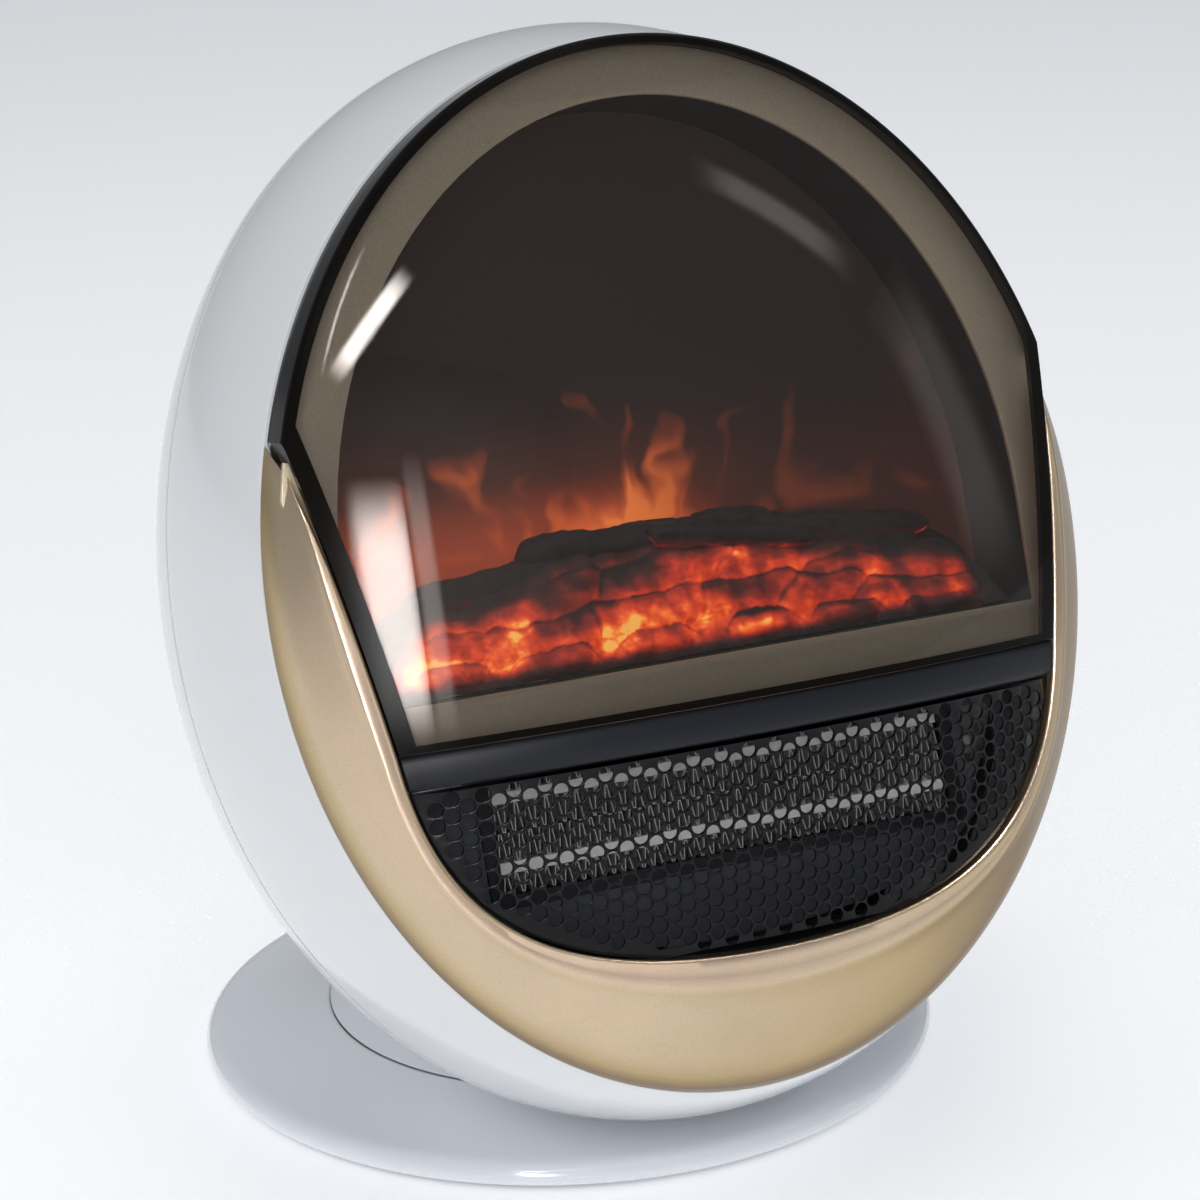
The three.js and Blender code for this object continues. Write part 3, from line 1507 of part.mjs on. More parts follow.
// The body in its tilted frame.
function headGroup() {
  const group = new THREE.Group();
  group.position.set(0, -headForward, headUp);
  group.rotation.x = -headTilt;
  group.add(piece("front_shell", frontShell(), finishes.shell));
  group.add(piece("rear_shell", rearShell(), finishes.shell));
  group.add(piece("gold_crescent", goldCrescent(), finishes.champagne));
  group.add(piece("window_dome", windowDome(), finishes.smoked));
  group.add(piece("divider_bar", dividerBar(), finishes.darkPlastic));
  group.add(piece("outlet_grille", grille(), finishes.glossBlack));
  group.add(flameGroup(), heaterGroup(), controlGroup());
  return group;
}

const heater = new THREE.Group();
heater.add(baseGroup(), neckGroup(), headGroup());

export default heater;
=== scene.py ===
"""Dresses a packed ball-shaped fan heater: fine shells, glass, grille, flames and finishes."""

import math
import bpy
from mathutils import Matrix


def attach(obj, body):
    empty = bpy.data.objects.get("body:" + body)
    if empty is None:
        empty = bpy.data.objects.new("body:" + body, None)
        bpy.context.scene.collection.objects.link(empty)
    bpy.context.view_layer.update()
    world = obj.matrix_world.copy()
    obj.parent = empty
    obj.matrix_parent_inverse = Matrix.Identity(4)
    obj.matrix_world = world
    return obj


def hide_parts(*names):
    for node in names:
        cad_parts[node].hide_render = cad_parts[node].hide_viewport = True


bl_info = {
    "name": "Ball fan heater",
    "version": (1, 0, 0),
    "blender": (4, 5, 0),
    "location": "View3D > Sidebar > Heater",
    "description": "Builds the visible pieces and finishes of a fan heater with a flame effect",
    "category": "Object",
}

import bmesh
import bpy
from mathutils import Matrix, Vector, noise

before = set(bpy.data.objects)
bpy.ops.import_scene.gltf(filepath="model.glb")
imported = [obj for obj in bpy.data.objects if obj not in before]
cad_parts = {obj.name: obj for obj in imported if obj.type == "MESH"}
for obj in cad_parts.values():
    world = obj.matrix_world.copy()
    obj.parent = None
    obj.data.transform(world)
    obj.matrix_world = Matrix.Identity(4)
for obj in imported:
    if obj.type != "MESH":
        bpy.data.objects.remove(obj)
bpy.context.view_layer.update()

# The ball: its own axis runs from front to back, its upright radius is the reference.
BALL_RADIUS = 0.1688
WIDTH_SHARE = 0.822
FRONT_REACH = 0.161
REAR_REACH = 0.105
WIDEST = 0.003
MOUTH = -0.061
WALL = 0.0028
TILT = math.radians(18.3)
HEAD_PLACE = Vector((0, -0.049, 0.171))
FLOOR_CUT = 0.0155
GAP = 0.0003

# The domed face and the opening inside the crescent.
FACE_FORWARD = 0.074
FACE_BULGE = 0.038
TIP_WIDE = 0.1193
TIP_UP = 0.0503
BAR_WIDE = 0.1033
BAR_TOP = -0.040
BAR_LOW = -0.050
DROP = 0.1115
SIDE_WIDE = 0.096
SIDE_DROP = 0.098
CORNER_WIDE = 0.058
EDGE_RISE = (TIP_WIDE - BAR_WIDE) / (TIP_UP - BAR_TOP)

# The controls: height of their row, their panel's floor along the ball's axis, and places across.
PANEL_UP = 0.078
PANEL_FLOOR = 0.076
KNOB_SIDE = -0.026
ROCKER_SIDES = {"heat": 0.008, "swing": 0.030}

# The base and the neck: heights, radii and places, in the world's frame.
DECK_HIGH = 0.009
TURNTABLE_LOW = 0.0134
TURNTABLE_RADIUS = 0.0796
NECK_TOP = 0.084
NECK_RADIUS = 0.038
GLAND_UP = 0.025
GLAND_TURN = 0.66
CREASE_RADIUS = 0.1202
CREASE_UP = 0.007
RIM_RADIUS = 0.0812
PLATE_RADIUS = 0.1169
FEET = 5
FOOT_RING = 0.105
SCREW_RING = 0.098
PLUNGER_FORWARD = -0.058
CRANK_BACK = 0.030

MM = 0.001
MERGE = 1e-6


def turned(axis, degrees):
    return Matrix.Rotation(math.radians(degrees), 4, axis)


def at(x, y, z):
    return Matrix.Translation((x, y, z))


HEAD = Matrix.Translation(HEAD_PLACE) @ Matrix.Rotation(-TILT, 4, "X")
HEAD_BACK = HEAD.inverted()
UPRIGHT = turned("X", 90)
ACROSS = Matrix(((0, 0, 1, 0), (1, 0, 0, 0), (0, 1, 0, 0), (0, 0, 0, 1)))


# Curves and outlines.


def spread(start, end, steps):
    """Evenly spaced values from start to end, both of them included."""
    return [start + (end - start) * i / steps for i in range(steps + 1)]


def smooth(value, low, high):
    share = max(0.0, min(1.0, (value - low) / (high - low)))
    return share * share * (3 - 2 * share)


def polar(radius, turn, x=0.0, y=0.0):
    return (x + radius * math.cos(turn), y + radius * math.sin(turn))


def circle_points(x, y, radius, steps):
    return [polar(radius, 2 * math.pi * i / steps, x, y) for i in range(steps)]


def rounded_rectangle(width, height, corner, x=0.0, y=0.0, steps=6):
    w, h = width / 2 - corner, height / 2 - corner
    out = []
    for cx, cy, start in ((w, h, 0), (-w, h, 90), (-w, -h, 180), (w, -h, 270)):
        for turn in spread(start, start + 90, steps):
            out.append(polar(corner, math.radians(turn), x + cx, y + cy))
    return out


def ball_radius(y):
    from_widest = y - WIDEST
    reach = FRONT_REACH if from_widest < 0 else REAR_REACH
    return BALL_RADIUS * math.sqrt(max(0.0, 1 - (from_widest / reach) ** 2))


MOUTH_RADIUS = ball_radius(MOUTH)
FACE_RIM = MOUTH_RADIUS - 0.0015


def face_y(x, z):
    """Place of the domed face along the ball's axis."""
    share = (x / (MOUTH_RADIUS * WIDTH_SHARE)) ** 2 + (z / MOUTH_RADIUS) ** 2
    return -(FACE_FORWARD + FACE_BULGE * (1 - share))


def edge_wide(z, inset=0.0):
    """Half width between the crescent's two straight edges at a height."""
    return BAR_WIDE - inset + EDGE_RISE * (z - BAR_TOP)


def shell_arc(start, end, steps):
    """Points of the ball's outline between two places along its axis."""
    return [(ball_radius(y), y) for y in spread(start, end, steps)]


def rear_arc(steps, grow=0.0):
    """Points of the outline from the widest place to the rear pole."""
    out = []
    for turn in spread(0, math.pi / 2, steps)[1:]:
        radius = (BALL_RADIUS + grow) * math.cos(turn)
        out.append((max(radius, 0.0), WIDEST + (REAR_REACH + grow) * math.sin(turn)))
    return out


def bezier(p0, p1, p2, p3, steps):
    out = []
    for t in spread(0, 1, steps):
        a, b, c, d = (1 - t) ** 3, 3 * t * (1 - t) ** 2, 3 * t * t * (1 - t), t**3
        out.append(tuple(a * q0 + b * q1 + c * q2 + d * q3 for q0, q1, q2, q3 in zip(p0, p1, p2, p3)))
    return out


def throat_line(inset, straight=14, curved=26):
    """The opening's edge from its left tip down and round to its right tip."""
    left = [(-edge_wide(z, inset), z) for z in spread(TIP_UP, BAR_TOP, straight)[:-1]]
    curve = bezier(
        (inset - BAR_WIDE, BAR_TOP),
        (inset - SIDE_WIDE, inset - SIDE_DROP),
        (inset - CORNER_WIDE, inset - DROP),
        (0, inset - DROP),
        curved,
    )
    half = left + curve
    return half + [(-x, z) for x, z in reversed(half[:-1])]


def arch_outline(wide, crown, spring, sill, steps=48):
    arch = [(wide * math.cos(turn), spring + (crown - spring) * math.sin(turn))
            for turn in spread(0, math.pi, steps)]
    return [(-wide, sill), (wide, sill)] + arch


def inside(points, x, z):
    """Whether a point lies inside a closed outline."""
    found = False
    for (ax, az), (bx, bz) in zip(points, points[1:] + points[:1]):
        if (az > z) != (bz > z) and x < (bx - ax) * (z - az) / (bz - az) + ax:
            found = not found
    return found


# Mesh helpers.


def spun(profile, axis="Y", steps=160, closed=False, narrow=False):
    """Spins a profile of (radius, place) pairs round an axis."""
    bm = bmesh.new()
    along_y = axis == "Y"
    verts = [bm.verts.new((r, p, 0) if along_y else (r, 0, p)) for r, p in profile]
    edges = [bm.edges.new(pair) for pair in zip(verts, verts[1:])]
    if closed:
        edges.append(bm.edges.new((verts[-1], verts[0])))
    turn = (0, 1, 0) if along_y else (0, 0, 1)
    bmesh.ops.spin(
        bm, geom=verts + edges, cent=(0, 0, 0), axis=turn, angle=2 * math.pi, steps=steps, use_merge=True
    )
    bmesh.ops.remove_doubles(bm, verts=bm.verts, dist=MERGE)
    if narrow:
        bmesh.ops.scale(bm, vec=(WIDTH_SHARE, 1, 1), verts=bm.verts)
    face_outwards(bm)
    return bm


def rod(radius, low, high, axis, steps):
    """A round rod between two places along its axis."""
    return spun([(0, low), (radius, low), (radius, high), (0, high)], axis, steps)


def face_outwards(bm):
    """Turns the faces outwards, judged by the face furthest from the middle."""
    bmesh.ops.recalc_face_normals(bm, faces=bm.faces)
    middle = sum((v.co for v in bm.verts), Vector()) / len(bm.verts)
    far = max(bm.faces, key=lambda f: (f.calc_center_median() - middle).length)
    far.normal_update()
    if far.normal.dot(far.calc_center_median() - middle) < 0:
        bmesh.ops.reverse_faces(bm, faces=bm.faces)


def swept(rings):
    """Extrudes a closed ring of points from station to station and closes both ends."""
    bm = bmesh.new()
    current = [bm.verts.new(p) for p in rings[0]]
    count = len(current)
    first = edges = [bm.edges.new((current[i], current[(i + 1) % count])) for i in range(count)]
    for ring in rings[1:]:
        made = bmesh.ops.extrude_edge_only(bm, edges=edges)["geom"]
        fresh = {g for g in made if isinstance(g, bmesh.types.BMVert)}
        following = []
        for vert, place in zip(current, ring):
            twin = next(e.other_vert(vert) for e in vert.link_edges if e.other_vert(vert) in fresh)
            twin.co = place
            following.append(twin)
        edges = [bm.edges.get((following[i], following[(i + 1) % count])) for i in range(count)]
        current = following
    for end in (first, edges):
        bmesh.ops.triangle_fill(bm, edges=end, use_beauty=True)
    face_outwards(bm)
    return bm


def flat_plate(outline, holes, thickness, bevel=0.0):
    """A flat plate in x and y with holes, filled by a flat curve, lying round z = 0."""
    curve = bpy.data.curves.new("plate", "CURVE")
    curve.dimensions = "2D"
    curve.fill_mode = "BOTH"
    for points in [outline, *holes]:
        spline = curve.splines.new("POLY")
        spline.points.add(len(points) - 1)
        for target, (u, v) in zip(spline.points, points):
            target.co = (u / MM, v / MM, 0, 1)
        spline.use_cyclic_u = True
    curve.extrude = (thickness / 2 - bevel) / MM
    curve.bevel_depth = bevel / MM
    curve.bevel_resolution = 1
    holder = bpy.data.objects.new("plate", curve)
    bpy.context.scene.collection.objects.link(holder)
    bpy.context.view_layer.update()
    mesh = bpy.data.meshes.new_from_object(holder)
    bm = bmesh.new()
    bm.from_mesh(mesh)
    bpy.data.objects.remove(holder)
    bpy.data.curves.remove(curve)
    bpy.data.meshes.remove(mesh)
    bmesh.ops.scale(bm, vec=(MM, MM, MM), verts=bm.verts)
    bmesh.ops.remove_doubles(bm, verts=bm.verts, dist=2 * MERGE)
    bmesh.ops.recalc_face_normals(bm, faces=bm.faces)
    return bm


def moved(bm, place):
    bmesh.ops.transform(bm, matrix=place, verts=bm.verts)
    return bm


def standing_plate(outline, holes, front, back, bevel=0.0):
    """A plate drawn in x and z between two places along the ball's axis."""
    bm = moved(flat_plate(outline, holes, back - front, bevel), UPRIGHT)
    return moved(bm, at(0, (front + back) / 2, 0))


def across_plate(outline, left, right, bevel=0.0):
    """A plate drawn in y and z between two places along x."""
    bm = moved(flat_plate(outline, [], right - left, bevel), ACROSS)
    return moved(bm, at((left + right) / 2, 0, 0))


def joined(*parts):
    """Puts several bmeshes into the first one."""
    whole = parts[0]
    for part in parts[1:]:
        mesh = bpy.data.meshes.new("part")
        part.to_mesh(mesh)
        part.free()
        whole.from_mesh(mesh)
        bpy.data.meshes.remove(mesh)
    return whole


def as_object(bm, name):
    mesh = bpy.data.meshes.new(name)
    bm.to_mesh(mesh)
    bm.free()
    obj = bpy.data.objects.new(name, mesh)
    bpy.context.scene.collection.objects.link(obj)
    return obj


def apply_all(obj):
    """Applies every modifier of an object."""
    bpy.context.view_layer.update()
    depsgraph = bpy.context.evaluated_depsgraph_get()
    old = obj.data
    obj.data = bpy.data.meshes.new_from_object(obj.evaluated_get(depsgraph))
    obj.modifiers.clear()
    bpy.data.meshes.remove(old)
    return obj


def modify(obj, kind, **settings):
    modifier = obj.modifiers.new(kind.lower(), kind)
    for key, value in settings.items():
        setattr(modifier, key, value)
    return obj


def carve(obj, cutter, operation="DIFFERENCE"):
    """Cuts an object with another one, which is used up."""
    modify(obj, "BOOLEAN", operation=operation, solver="EXACT", object=cutter)
    apply_all(obj)
    bpy.data.objects.remove(cutter)
    return obj


def round_edges(obj, width, angle=50):
    """Rounds the edges that turn by more than an angle in degrees."""
    limit = math.radians(angle)
    return modify(obj, "BEVEL", width=width, segments=2, limit_method="ANGLE", angle_limit=limit)


def dress(obj, body, slot, finish, replaced=(), place=None, angle=35):
    """Puts a finished object in place: material, shading and body; its slot is not used."""
    if place is not None:
        obj.data.transform(place)
    obj.data.materials.clear()
    obj.data.materials.append(finishes()[finish])
    obj.data.polygons.foreach_set("use_smooth", [True] * len(obj.data.polygons))
    obj.data.set_sharp_from_angle(angle=math.radians(angle))
    obj.data.update()
    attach(obj, body)
    if replaced:
        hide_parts(*replaced)


def add(bm, name, *settings, **more):
    """Makes an object of a bmesh and dresses it."""
    dress(as_object(bm, name), *settings, **more)


def finish_nodes(**looks):
    """Gives CAD nodes that stay their materials."""
    for name, finish in looks.items():
        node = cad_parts[name]
        material = finishes()[finish]
        if not node.material_slots:
            node.data.materials.append(material)
        for entry in node.material_slots:
            entry.material = material


def cut_floor(bm, height):
    """Cuts a shape that is in the ball's frame along a level plane and closes it."""
    point = HEAD_BACK @ Vector((0, 0, height))
    normal = (HEAD_BACK.to_3x3() @ Vector((0, 0, -1))).normalized()
    geometry = bm.verts[:] + bm.edges[:] + bm.faces[:]
    bmesh.ops.bisect_plane(bm, geom=geometry, plane_co=point, plane_no=normal, clear_outer=True, dist=1e-7)
    rim = [e for e in bm.edges
           if e.is_boundary and all(abs((v.co - point).dot(normal)) < MERGE for v in e.verts)]
    bmesh.ops.edgenet_fill(bm, edges=close_chain(bm, rim))
    return bm


def close_chain(bm, edges):
    """Joins the two ends of an open chain of edges, if it has any."""
    count = {}
    for edge in edges:
        for vert in edge.verts:
            count[vert] = count.get(vert, 0) + 1
    ends = [v for v, n in count.items() if n == 1]
    if len(ends) == 2:
        edges = edges + [bm.edges.get(ends) or bm.edges.new(ends)]
    return edges


# Shader helpers.


def feed(tree, made, inputs):
    """Sets a node's inputs, each by a link from another node or as a constant."""
    for key, value in inputs.items():
        if isinstance(value, bpy.types.NodeSocket):
            tree.links.new(value, made.inputs[key])
        else:
            made.inputs[key].default_value = value
    return made


def node_of(tree, kind, inputs, **settings):
    made = tree.nodes.new(kind)
    for key, value in settings.items():
        setattr(made, key, value)
    return feed(tree, made, inputs)


def rgba(colour, share=1.0):
    return (*[c * share for c in colour], 1)


def ramp_of(tree, factor, stops):
    made = node_of(tree, "ShaderNodeValToRGB", {"Fac": factor})
    ramp = made.color_ramp
    ramp.interpolation = "LINEAR"
    while len(ramp.elements) < len(stops):
        ramp.elements.new(0.5)
    for element, (place, colour) in zip(ramp.elements, stops):
        element.position = place
        element.color = rgba(colour)
    return made.outputs["Color"]


def remap(tree, value, low, high, new_low=0.0, new_high=1.0, smooth=False):
    limits = {"Value": value, "From Min": low, "From Max": high, "To Min": new_low, "To Max": new_high}
    kind = "SMOOTHSTEP" if smooth else "LINEAR"
    return node_of(tree, "ShaderNodeMapRange", limits, interpolation_type=kind).outputs["Result"]


def maths(tree, operation, a, b=0.0, clamp=False):
    return node_of(tree, "ShaderNodeMath", {0: a, 1: b}, operation=operation, use_clamp=clamp).outputs[0]


def plus(tree, a, b):
    return maths(tree, "ADD", a, b)


def minus(tree, a, b):
    return maths(tree, "SUBTRACT", a, b)


def times(tree, a, b, clamp=False):
    return maths(tree, "MULTIPLY", a, b, clamp)


def noise_of(tree, vector, scale, detail=2.0, **more):
    inputs = {"Vector": vector, "Scale": scale, "Detail": detail, **more}
    return node_of(tree, "ShaderNodeTexNoise", inputs).outputs["Fac"]


def mapping(tree, vector, **inputs):
    return node_of(tree, "ShaderNodeMapping", {"Vector": vector, **inputs}).outputs["Vector"]


def axes_of(tree, vector):
    return node_of(tree, "ShaderNodeSeparateXYZ", {"Vector": vector}).outputs


def blend_colours(tree, factor, a, b, mode="MIX"):
    inputs = {"Factor": factor, 6: a, 7: b}
    return node_of(tree, "ShaderNodeMix", inputs, data_type="RGBA", blend_type=mode).outputs[2]


def effect(name, inputs, *outputs):
    """A new shader group with a vector, float inputs with defaults, and float outputs."""
    group = bpy.data.node_groups.new(name, "ShaderNodeTree")
    group.interface.new_socket(name="Vector", in_out="INPUT", socket_type="NodeSocketVector")
    for label, default in inputs.items():
        socket = group.interface.new_socket(name=label, in_out="INPUT", socket_type="NodeSocketFloat")
        socket.default_value = default
    for label in outputs:
        group.interface.new_socket(name=label, in_out="OUTPUT", socket_type="NodeSocketFloat")
    given = group.nodes.new("NodeGroupInput").outputs
    return group, given, given["Vector"]


def put_out(group, **values):
    """Ends a shader group with what it gives."""
    feed(group, group.nodes.new("NodeGroupOutput"), values)
    return group


def moulded_skin():
    """Faint waviness and soft blotches of moulded plastic."""
    group, given, vector = effect("Moulded skin", {"Grain": 900.0}, "Height", "Blotch")
    grain = noise_of(group, vector, given["Grain"])
    wave = noise_of(group, vector, 45.0)
    blotch = noise_of(group, vector, 14.0, 4.0)
    return put_out(
        group,
        Height=plus(group, grain, times(group, wave, 2.0)),
        Blotch=remap(group, blotch, 0.35, 0.65, smooth=True),
    )


def fine_scratches():
    """Sparse hairline scratches in two directions."""
    group, given, vector = effect("Fine scratches", {"Amount": 0.5}, "Mask")
    masks = []
    for turn, stretch in ((0.4, (18, 900, 18)), (-0.9, (700, 14, 20))):
        mapped = mapping(group, vector, Rotation=(turn, turn / 2, turn), Scale=stretch)
        masks.append(remap(group, noise_of(group, mapped, 1.0, 1.0), 0.70, 0.78, smooth=True))
    where = remap(group, noise_of(group, vector, 22.0), 0.5, 0.62, smooth=True)
    both = times(group, maths(group, "MAXIMUM", *masks), where)
    return put_out(group, Mask=times(group, both, given["Amount"]))


def metal_flake():
    """The fine flake of a metallic coat."""
    group, given, vector = effect("Metal flake", {"Size": 2600.0}, "Sparkle", "Cloud")
    flake = node_of(group, "ShaderNodeTexVoronoi", {"Vector": vector, "Scale": given["Size"]})
    split = node_of(group, "ShaderNodeSeparateColor", {"Color": flake.outputs["Color"]})
    return put_out(group, Sparkle=split.outputs[0], Cloud=noise_of(group, vector, 30.0, 5.0))


def flame_tongues():
    """Flames that rise from a bed: a mask of heat over x and height."""
    group, given, vector = effect("Flame tongues", {"Foot": 0.0, "Reach": 0.07}, "Heat", "Haze")
    axes = axes_of(group, vector)
    share = maths(group, "DIVIDE", minus(group, axes["Z"], given["Foot"]), given["Reach"])
    sway = noise_of(group, vector, 26.0, 3.0)
    side = plus(group, axes["X"], times(group, minus(group, sway, 0.5), 0.07))
    flat = {"X": side, "Y": 0.37, "Z": times(group, axes["Z"], 0.42)}
    flat = node_of(group, "ShaderNodeCombineXYZ", flat).outputs["Vector"]
    tongues = noise_of(group, flat, 62.0, 2.5, Roughness=0.45)
    wide = node_of(group, "ShaderNodeCombineXYZ", {"X": axes["X"], "Y": 0.11, "Z": 0.0}).outputs["Vector"]
    lift = times(group, minus(group, noise_of(group, wide, 15.0, 1.0), 0.5), 0.35)
    left = remap(group, axes["X"], -0.01, 0.055, 1.0, 0.22, smooth=True)
    limit = remap(group, share, 0.0, 1.0, 0.37, 0.66)
    heat = remap(group, minus(group, plus(group, tongues, lift), limit), 0.0, 0.16)
    foot = remap(group, share, -0.02, 0.05, smooth=True)
    crest = remap(group, share, 0.70, 1.10, 1.0, 0.0, smooth=True)
    haze = remap(group, share, 0.0, 1.1, 1.0, 0.0, smooth=True)
    return put_out(
        group,
        Heat=times(group, times(group, heat, left), times(group, foot, crest)),
        Haze=times(group, times(group, haze, haze), left),
    )


def ember_glow():
    """Breaks the glow of the coals up with fine crust and hotter hearts."""
    group, given, vector = effect("Ember glow", {"Glow": 0.0}, "Heat", "Crust")
    crust = noise_of(group, vector, 260.0, 4.0)
    grain = noise_of(group, mapping(group, vector, Scale=(0.5, 1.0, 1.6)), 520.0)
    hearts = noise_of(group, vector, 55.0, 1.0)
    flake = remap(group, crust, 0.35, 0.62, 0.72, 1.08)
    fine = remap(group, grain, 0.35, 0.65, 0.90, 1.05)
    hot = remap(group, hearts, 0.50, 0.68, 0.92, 1.38, smooth=True)
    heat = times(group, given["Glow"], times(group, flake, fine))
    return put_out(group, Heat=times(group, heat, hot, clamp=True), Crust=crust)


EFFECTS = {}


def use_effect(tree, maker, inputs):
    """Puts a shader group into a tree, and makes it the first time."""
    if maker not in EFFECTS:
        EFFECTS[maker] = maker()
    return node_of(tree, "ShaderNodeGroup", inputs, node_tree=EFFECTS[maker]).outputs


def new_material(name):
    made = bpy.data.materials.new(name)
    made.use_nodes = True
    tree = made.node_tree
    place = tree.nodes.new("ShaderNodeTexCoord").outputs["Object"]
    return made, tree, tree.nodes["Principled BSDF"], place


def in_head_frame(tree, place):
    """Object coordinates turned into the ball's own frame."""
    shift = -(Matrix.Rotation(TILT, 3, "X") @ HEAD_PLACE)
    return mapping(tree, place, Rotation=(TILT, 0, 0), Location=shift)


def bump_of(tree, height, distance):
    inputs = {"Height": height, "Distance": distance, "Strength": 1.0}
    return node_of(tree, "ShaderNodeBump", inputs).outputs["Normal"]


# Materials.


def plastic(
    name, colour, roughness, grain=900.0, depth=0.00001, coat=0.0, shade=0.06, scratch=0.25, shine=0.5
):
    """A moulded plastic with faint waviness, blotches and hairline scratches."""
    made, tree, shader, place = new_material(name)
    skin = use_effect(tree, moulded_skin, {"Vector": place, "Grain": grain})
    marks = use_effect(tree, fine_scratches, {"Vector": place, "Amount": scratch})
    rough = remap(tree, skin["Blotch"], 0, 1, roughness * 0.9, roughness * 1.15)
    feed(tree, shader, {
        "Base Color": blend_colours(tree, skin["Blotch"], rgba(colour), rgba(colour, 1 - shade)),
        "Roughness": plus(tree, rough, times(tree, marks["Mask"], 0.25)),
        "Specular IOR Level": shine,
        "Normal": bump_of(tree, skin["Height"], depth),
    })
    if coat:
        feed(tree, shader, {"Coat Weight": coat, "Coat Roughness": 0.04})
    return made


def metal(name, colour, roughness, flake_share=0.06, metallic=1.0):
    """A metal or metallic coat with flake and hairline scratches."""
    made, tree, shader, place = new_material(name)
    flake = use_effect(tree, metal_flake, {"Vector": place})
    marks = use_effect(tree, fine_scratches, {"Vector": place, "Amount": 0.3})
    bright = (*[min(1.0, c * (1 + 2 * flake_share)) for c in colour], 1)
    dark = rgba(colour, 1 - 2 * flake_share)
    mixed = blend_colours(tree, flake["Sparkle"], dark, bright)
    rough = remap(tree, flake["Cloud"], 0.3, 0.7, roughness * 0.9, roughness * 1.12)
    feed(tree, shader, {
        "Base Color": blend_colours(tree, times(tree, flake["Cloud"], 0.25), mixed, dark),
        "Roughness": plus(tree, rough, times(tree, marks["Mask"], 0.2)),
        "Metallic": metallic,
        "Normal": bump_of(tree, flake["Sparkle"], 0.000004),
    })
    return made


# How far the champagne coat turns away from the viewer, and what its colour is multiplied by there: partly
# the coat's colour shift, partly a painted highlight where it faces the viewer and painted shade and
# reflection of dark surroundings where it turns away.
CHAMPAGNE_FLOP_HIGHLIGHT_SHADE = ((0.06, (1.06, 1.0, 1.08)), (0.24, (1.0, 1.0, 1.0)), (0.42, (0.80, 0.76, 0.60)),
                   (0.66, (0.34, 0.27, 0.17)))


def satin_champagne(colour):
    """A satin metallic coat whose colour follows how far it turns from the viewer: rosier and brighter where
    it faces, as a painted highlight, and more olive and darker where it turns away, as painted shade.
    """
    made, tree, shader, place = new_material("Satin champagne")
    flake = use_effect(tree, metal_flake, {"Vector": place, "Size": 3600.0})
    marks = use_effect(tree, fine_scratches, {"Vector": place, "Amount": 0.25})
    facing = node_of(tree, "ShaderNodeLayerWeight", {"Blend": 0.5}).outputs["Facing"]
    stops = [(spot, [c * t for c, t in zip(colour, flop_and_shade)]) for spot, flop_and_shade in CHAMPAGNE_FLOP_HIGHLIGHT_SHADE]
    cloud = remap(tree, flake["Cloud"], 0.35, 0.65, 0.96, 1.03)
    shade = times(tree, cloud, remap(tree, flake["Sparkle"], 0.0, 1.0, 0.95, 1.06))
    grey = node_of(tree, "ShaderNodeCombineColor", {"Red": shade, "Green": shade, "Blue": shade})
    rough = remap(tree, flake["Cloud"], 0.3, 0.7, 0.27, 0.33)
    # The ramp paints highlight and shade into the base colour by how far the coat turns from the viewer.
    body = ramp_of(tree, facing, stops)
    feed(tree, shader, {
        "Base Color": blend_colours(tree, 1.0, body, grey.outputs["Color"], "MULTIPLY"),
        "Roughness": plus(tree, rough, times(tree, marks["Mask"], 0.2)),
        "Metallic": 0.85,
        "Normal": bump_of(tree, flake["Sparkle"], 0.000002),
    })
    return made


def smoked_glass(tint, alpha):
    """Smoked polished plastic with fine upright wipe marks."""
    made, tree, shader, place = new_material("Smoked window")
    skin = use_effect(tree, moulded_skin, {"Vector": place, "Grain": 120.0})
    lines = noise_of(tree, mapping(tree, in_head_frame(tree, place), Scale=(1500, 20, 16)), 1.0, 1.0)
    wipes = remap(tree, lines, 0.70, 0.80, smooth=True)
    feed(tree, shader, {
        "Base Color": blend_colours(tree, skin["Blotch"], rgba(tint), rgba(tint, 0.85)),
        "Roughness": remap(tree, wipes, 0, 1, 0.02, 0.09),
        "Alpha": plus(tree, alpha, times(tree, wipes, 0.03)),
        "Specular Tint": (1.0, 0.92, 0.87, 1.0),
        "IOR": 1.72,
    })
    return made


FLAME_HEAT = ((0.0, (0.0, 0.0, 0.0)), (0.3, (0.13, 0.020, 0.004)), (0.7, (0.42, 0.080, 0.014)),
              (1.0, (0.70, 0.19, 0.035)))
FLAME_HAZE = ((0.0, (0.008, 0.0045, 0.004)), (0.5, (0.07, 0.013, 0.006)), (1.0, (0.33, 0.045, 0.013)))
EMBER_HEAT = ((0.0, (0.0, 0.0, 0.0)), (0.16, (0.035, 0.003, 0.002)), (0.38, (0.24, 0.012, 0.004)),
              (0.62, (0.62, 0.040, 0.007)), (0.80, (0.90, 0.105, 0.014)), (0.92, (1.0, 0.24, 0.030)),
              (1.0, (1.0, 0.46, 0.09)))
CHAR = (0.014, 0.010, 0.009)


def flame_sheet(strength):
    """The translucent sheet that the flames play on."""
    made, tree, shader, place = new_material("Flame sheet")
    flame_inputs = {"Vector": in_head_frame(tree, place), "Foot": 0.010, "Reach": 0.052}
    flame = use_effect(tree, flame_tongues, flame_inputs)
    hot = ramp_of(tree, flame["Heat"], FLAME_HEAT)
    haze = ramp_of(tree, flame["Haze"], FLAME_HAZE)
    grain = use_effect(tree, moulded_skin, {"Vector": place, "Grain": 600.0})
    feed(tree, shader, {
        "Emission Color": blend_colours(tree, 1.0, haze, hot, "ADD"),
        "Emission Strength": strength,
        "Base Color": (0.02, 0.013, 0.01, 1),
        "Roughness": 0.7,
        "Normal": bump_of(tree, grain["Height"], 0.00002),
    })
    return made


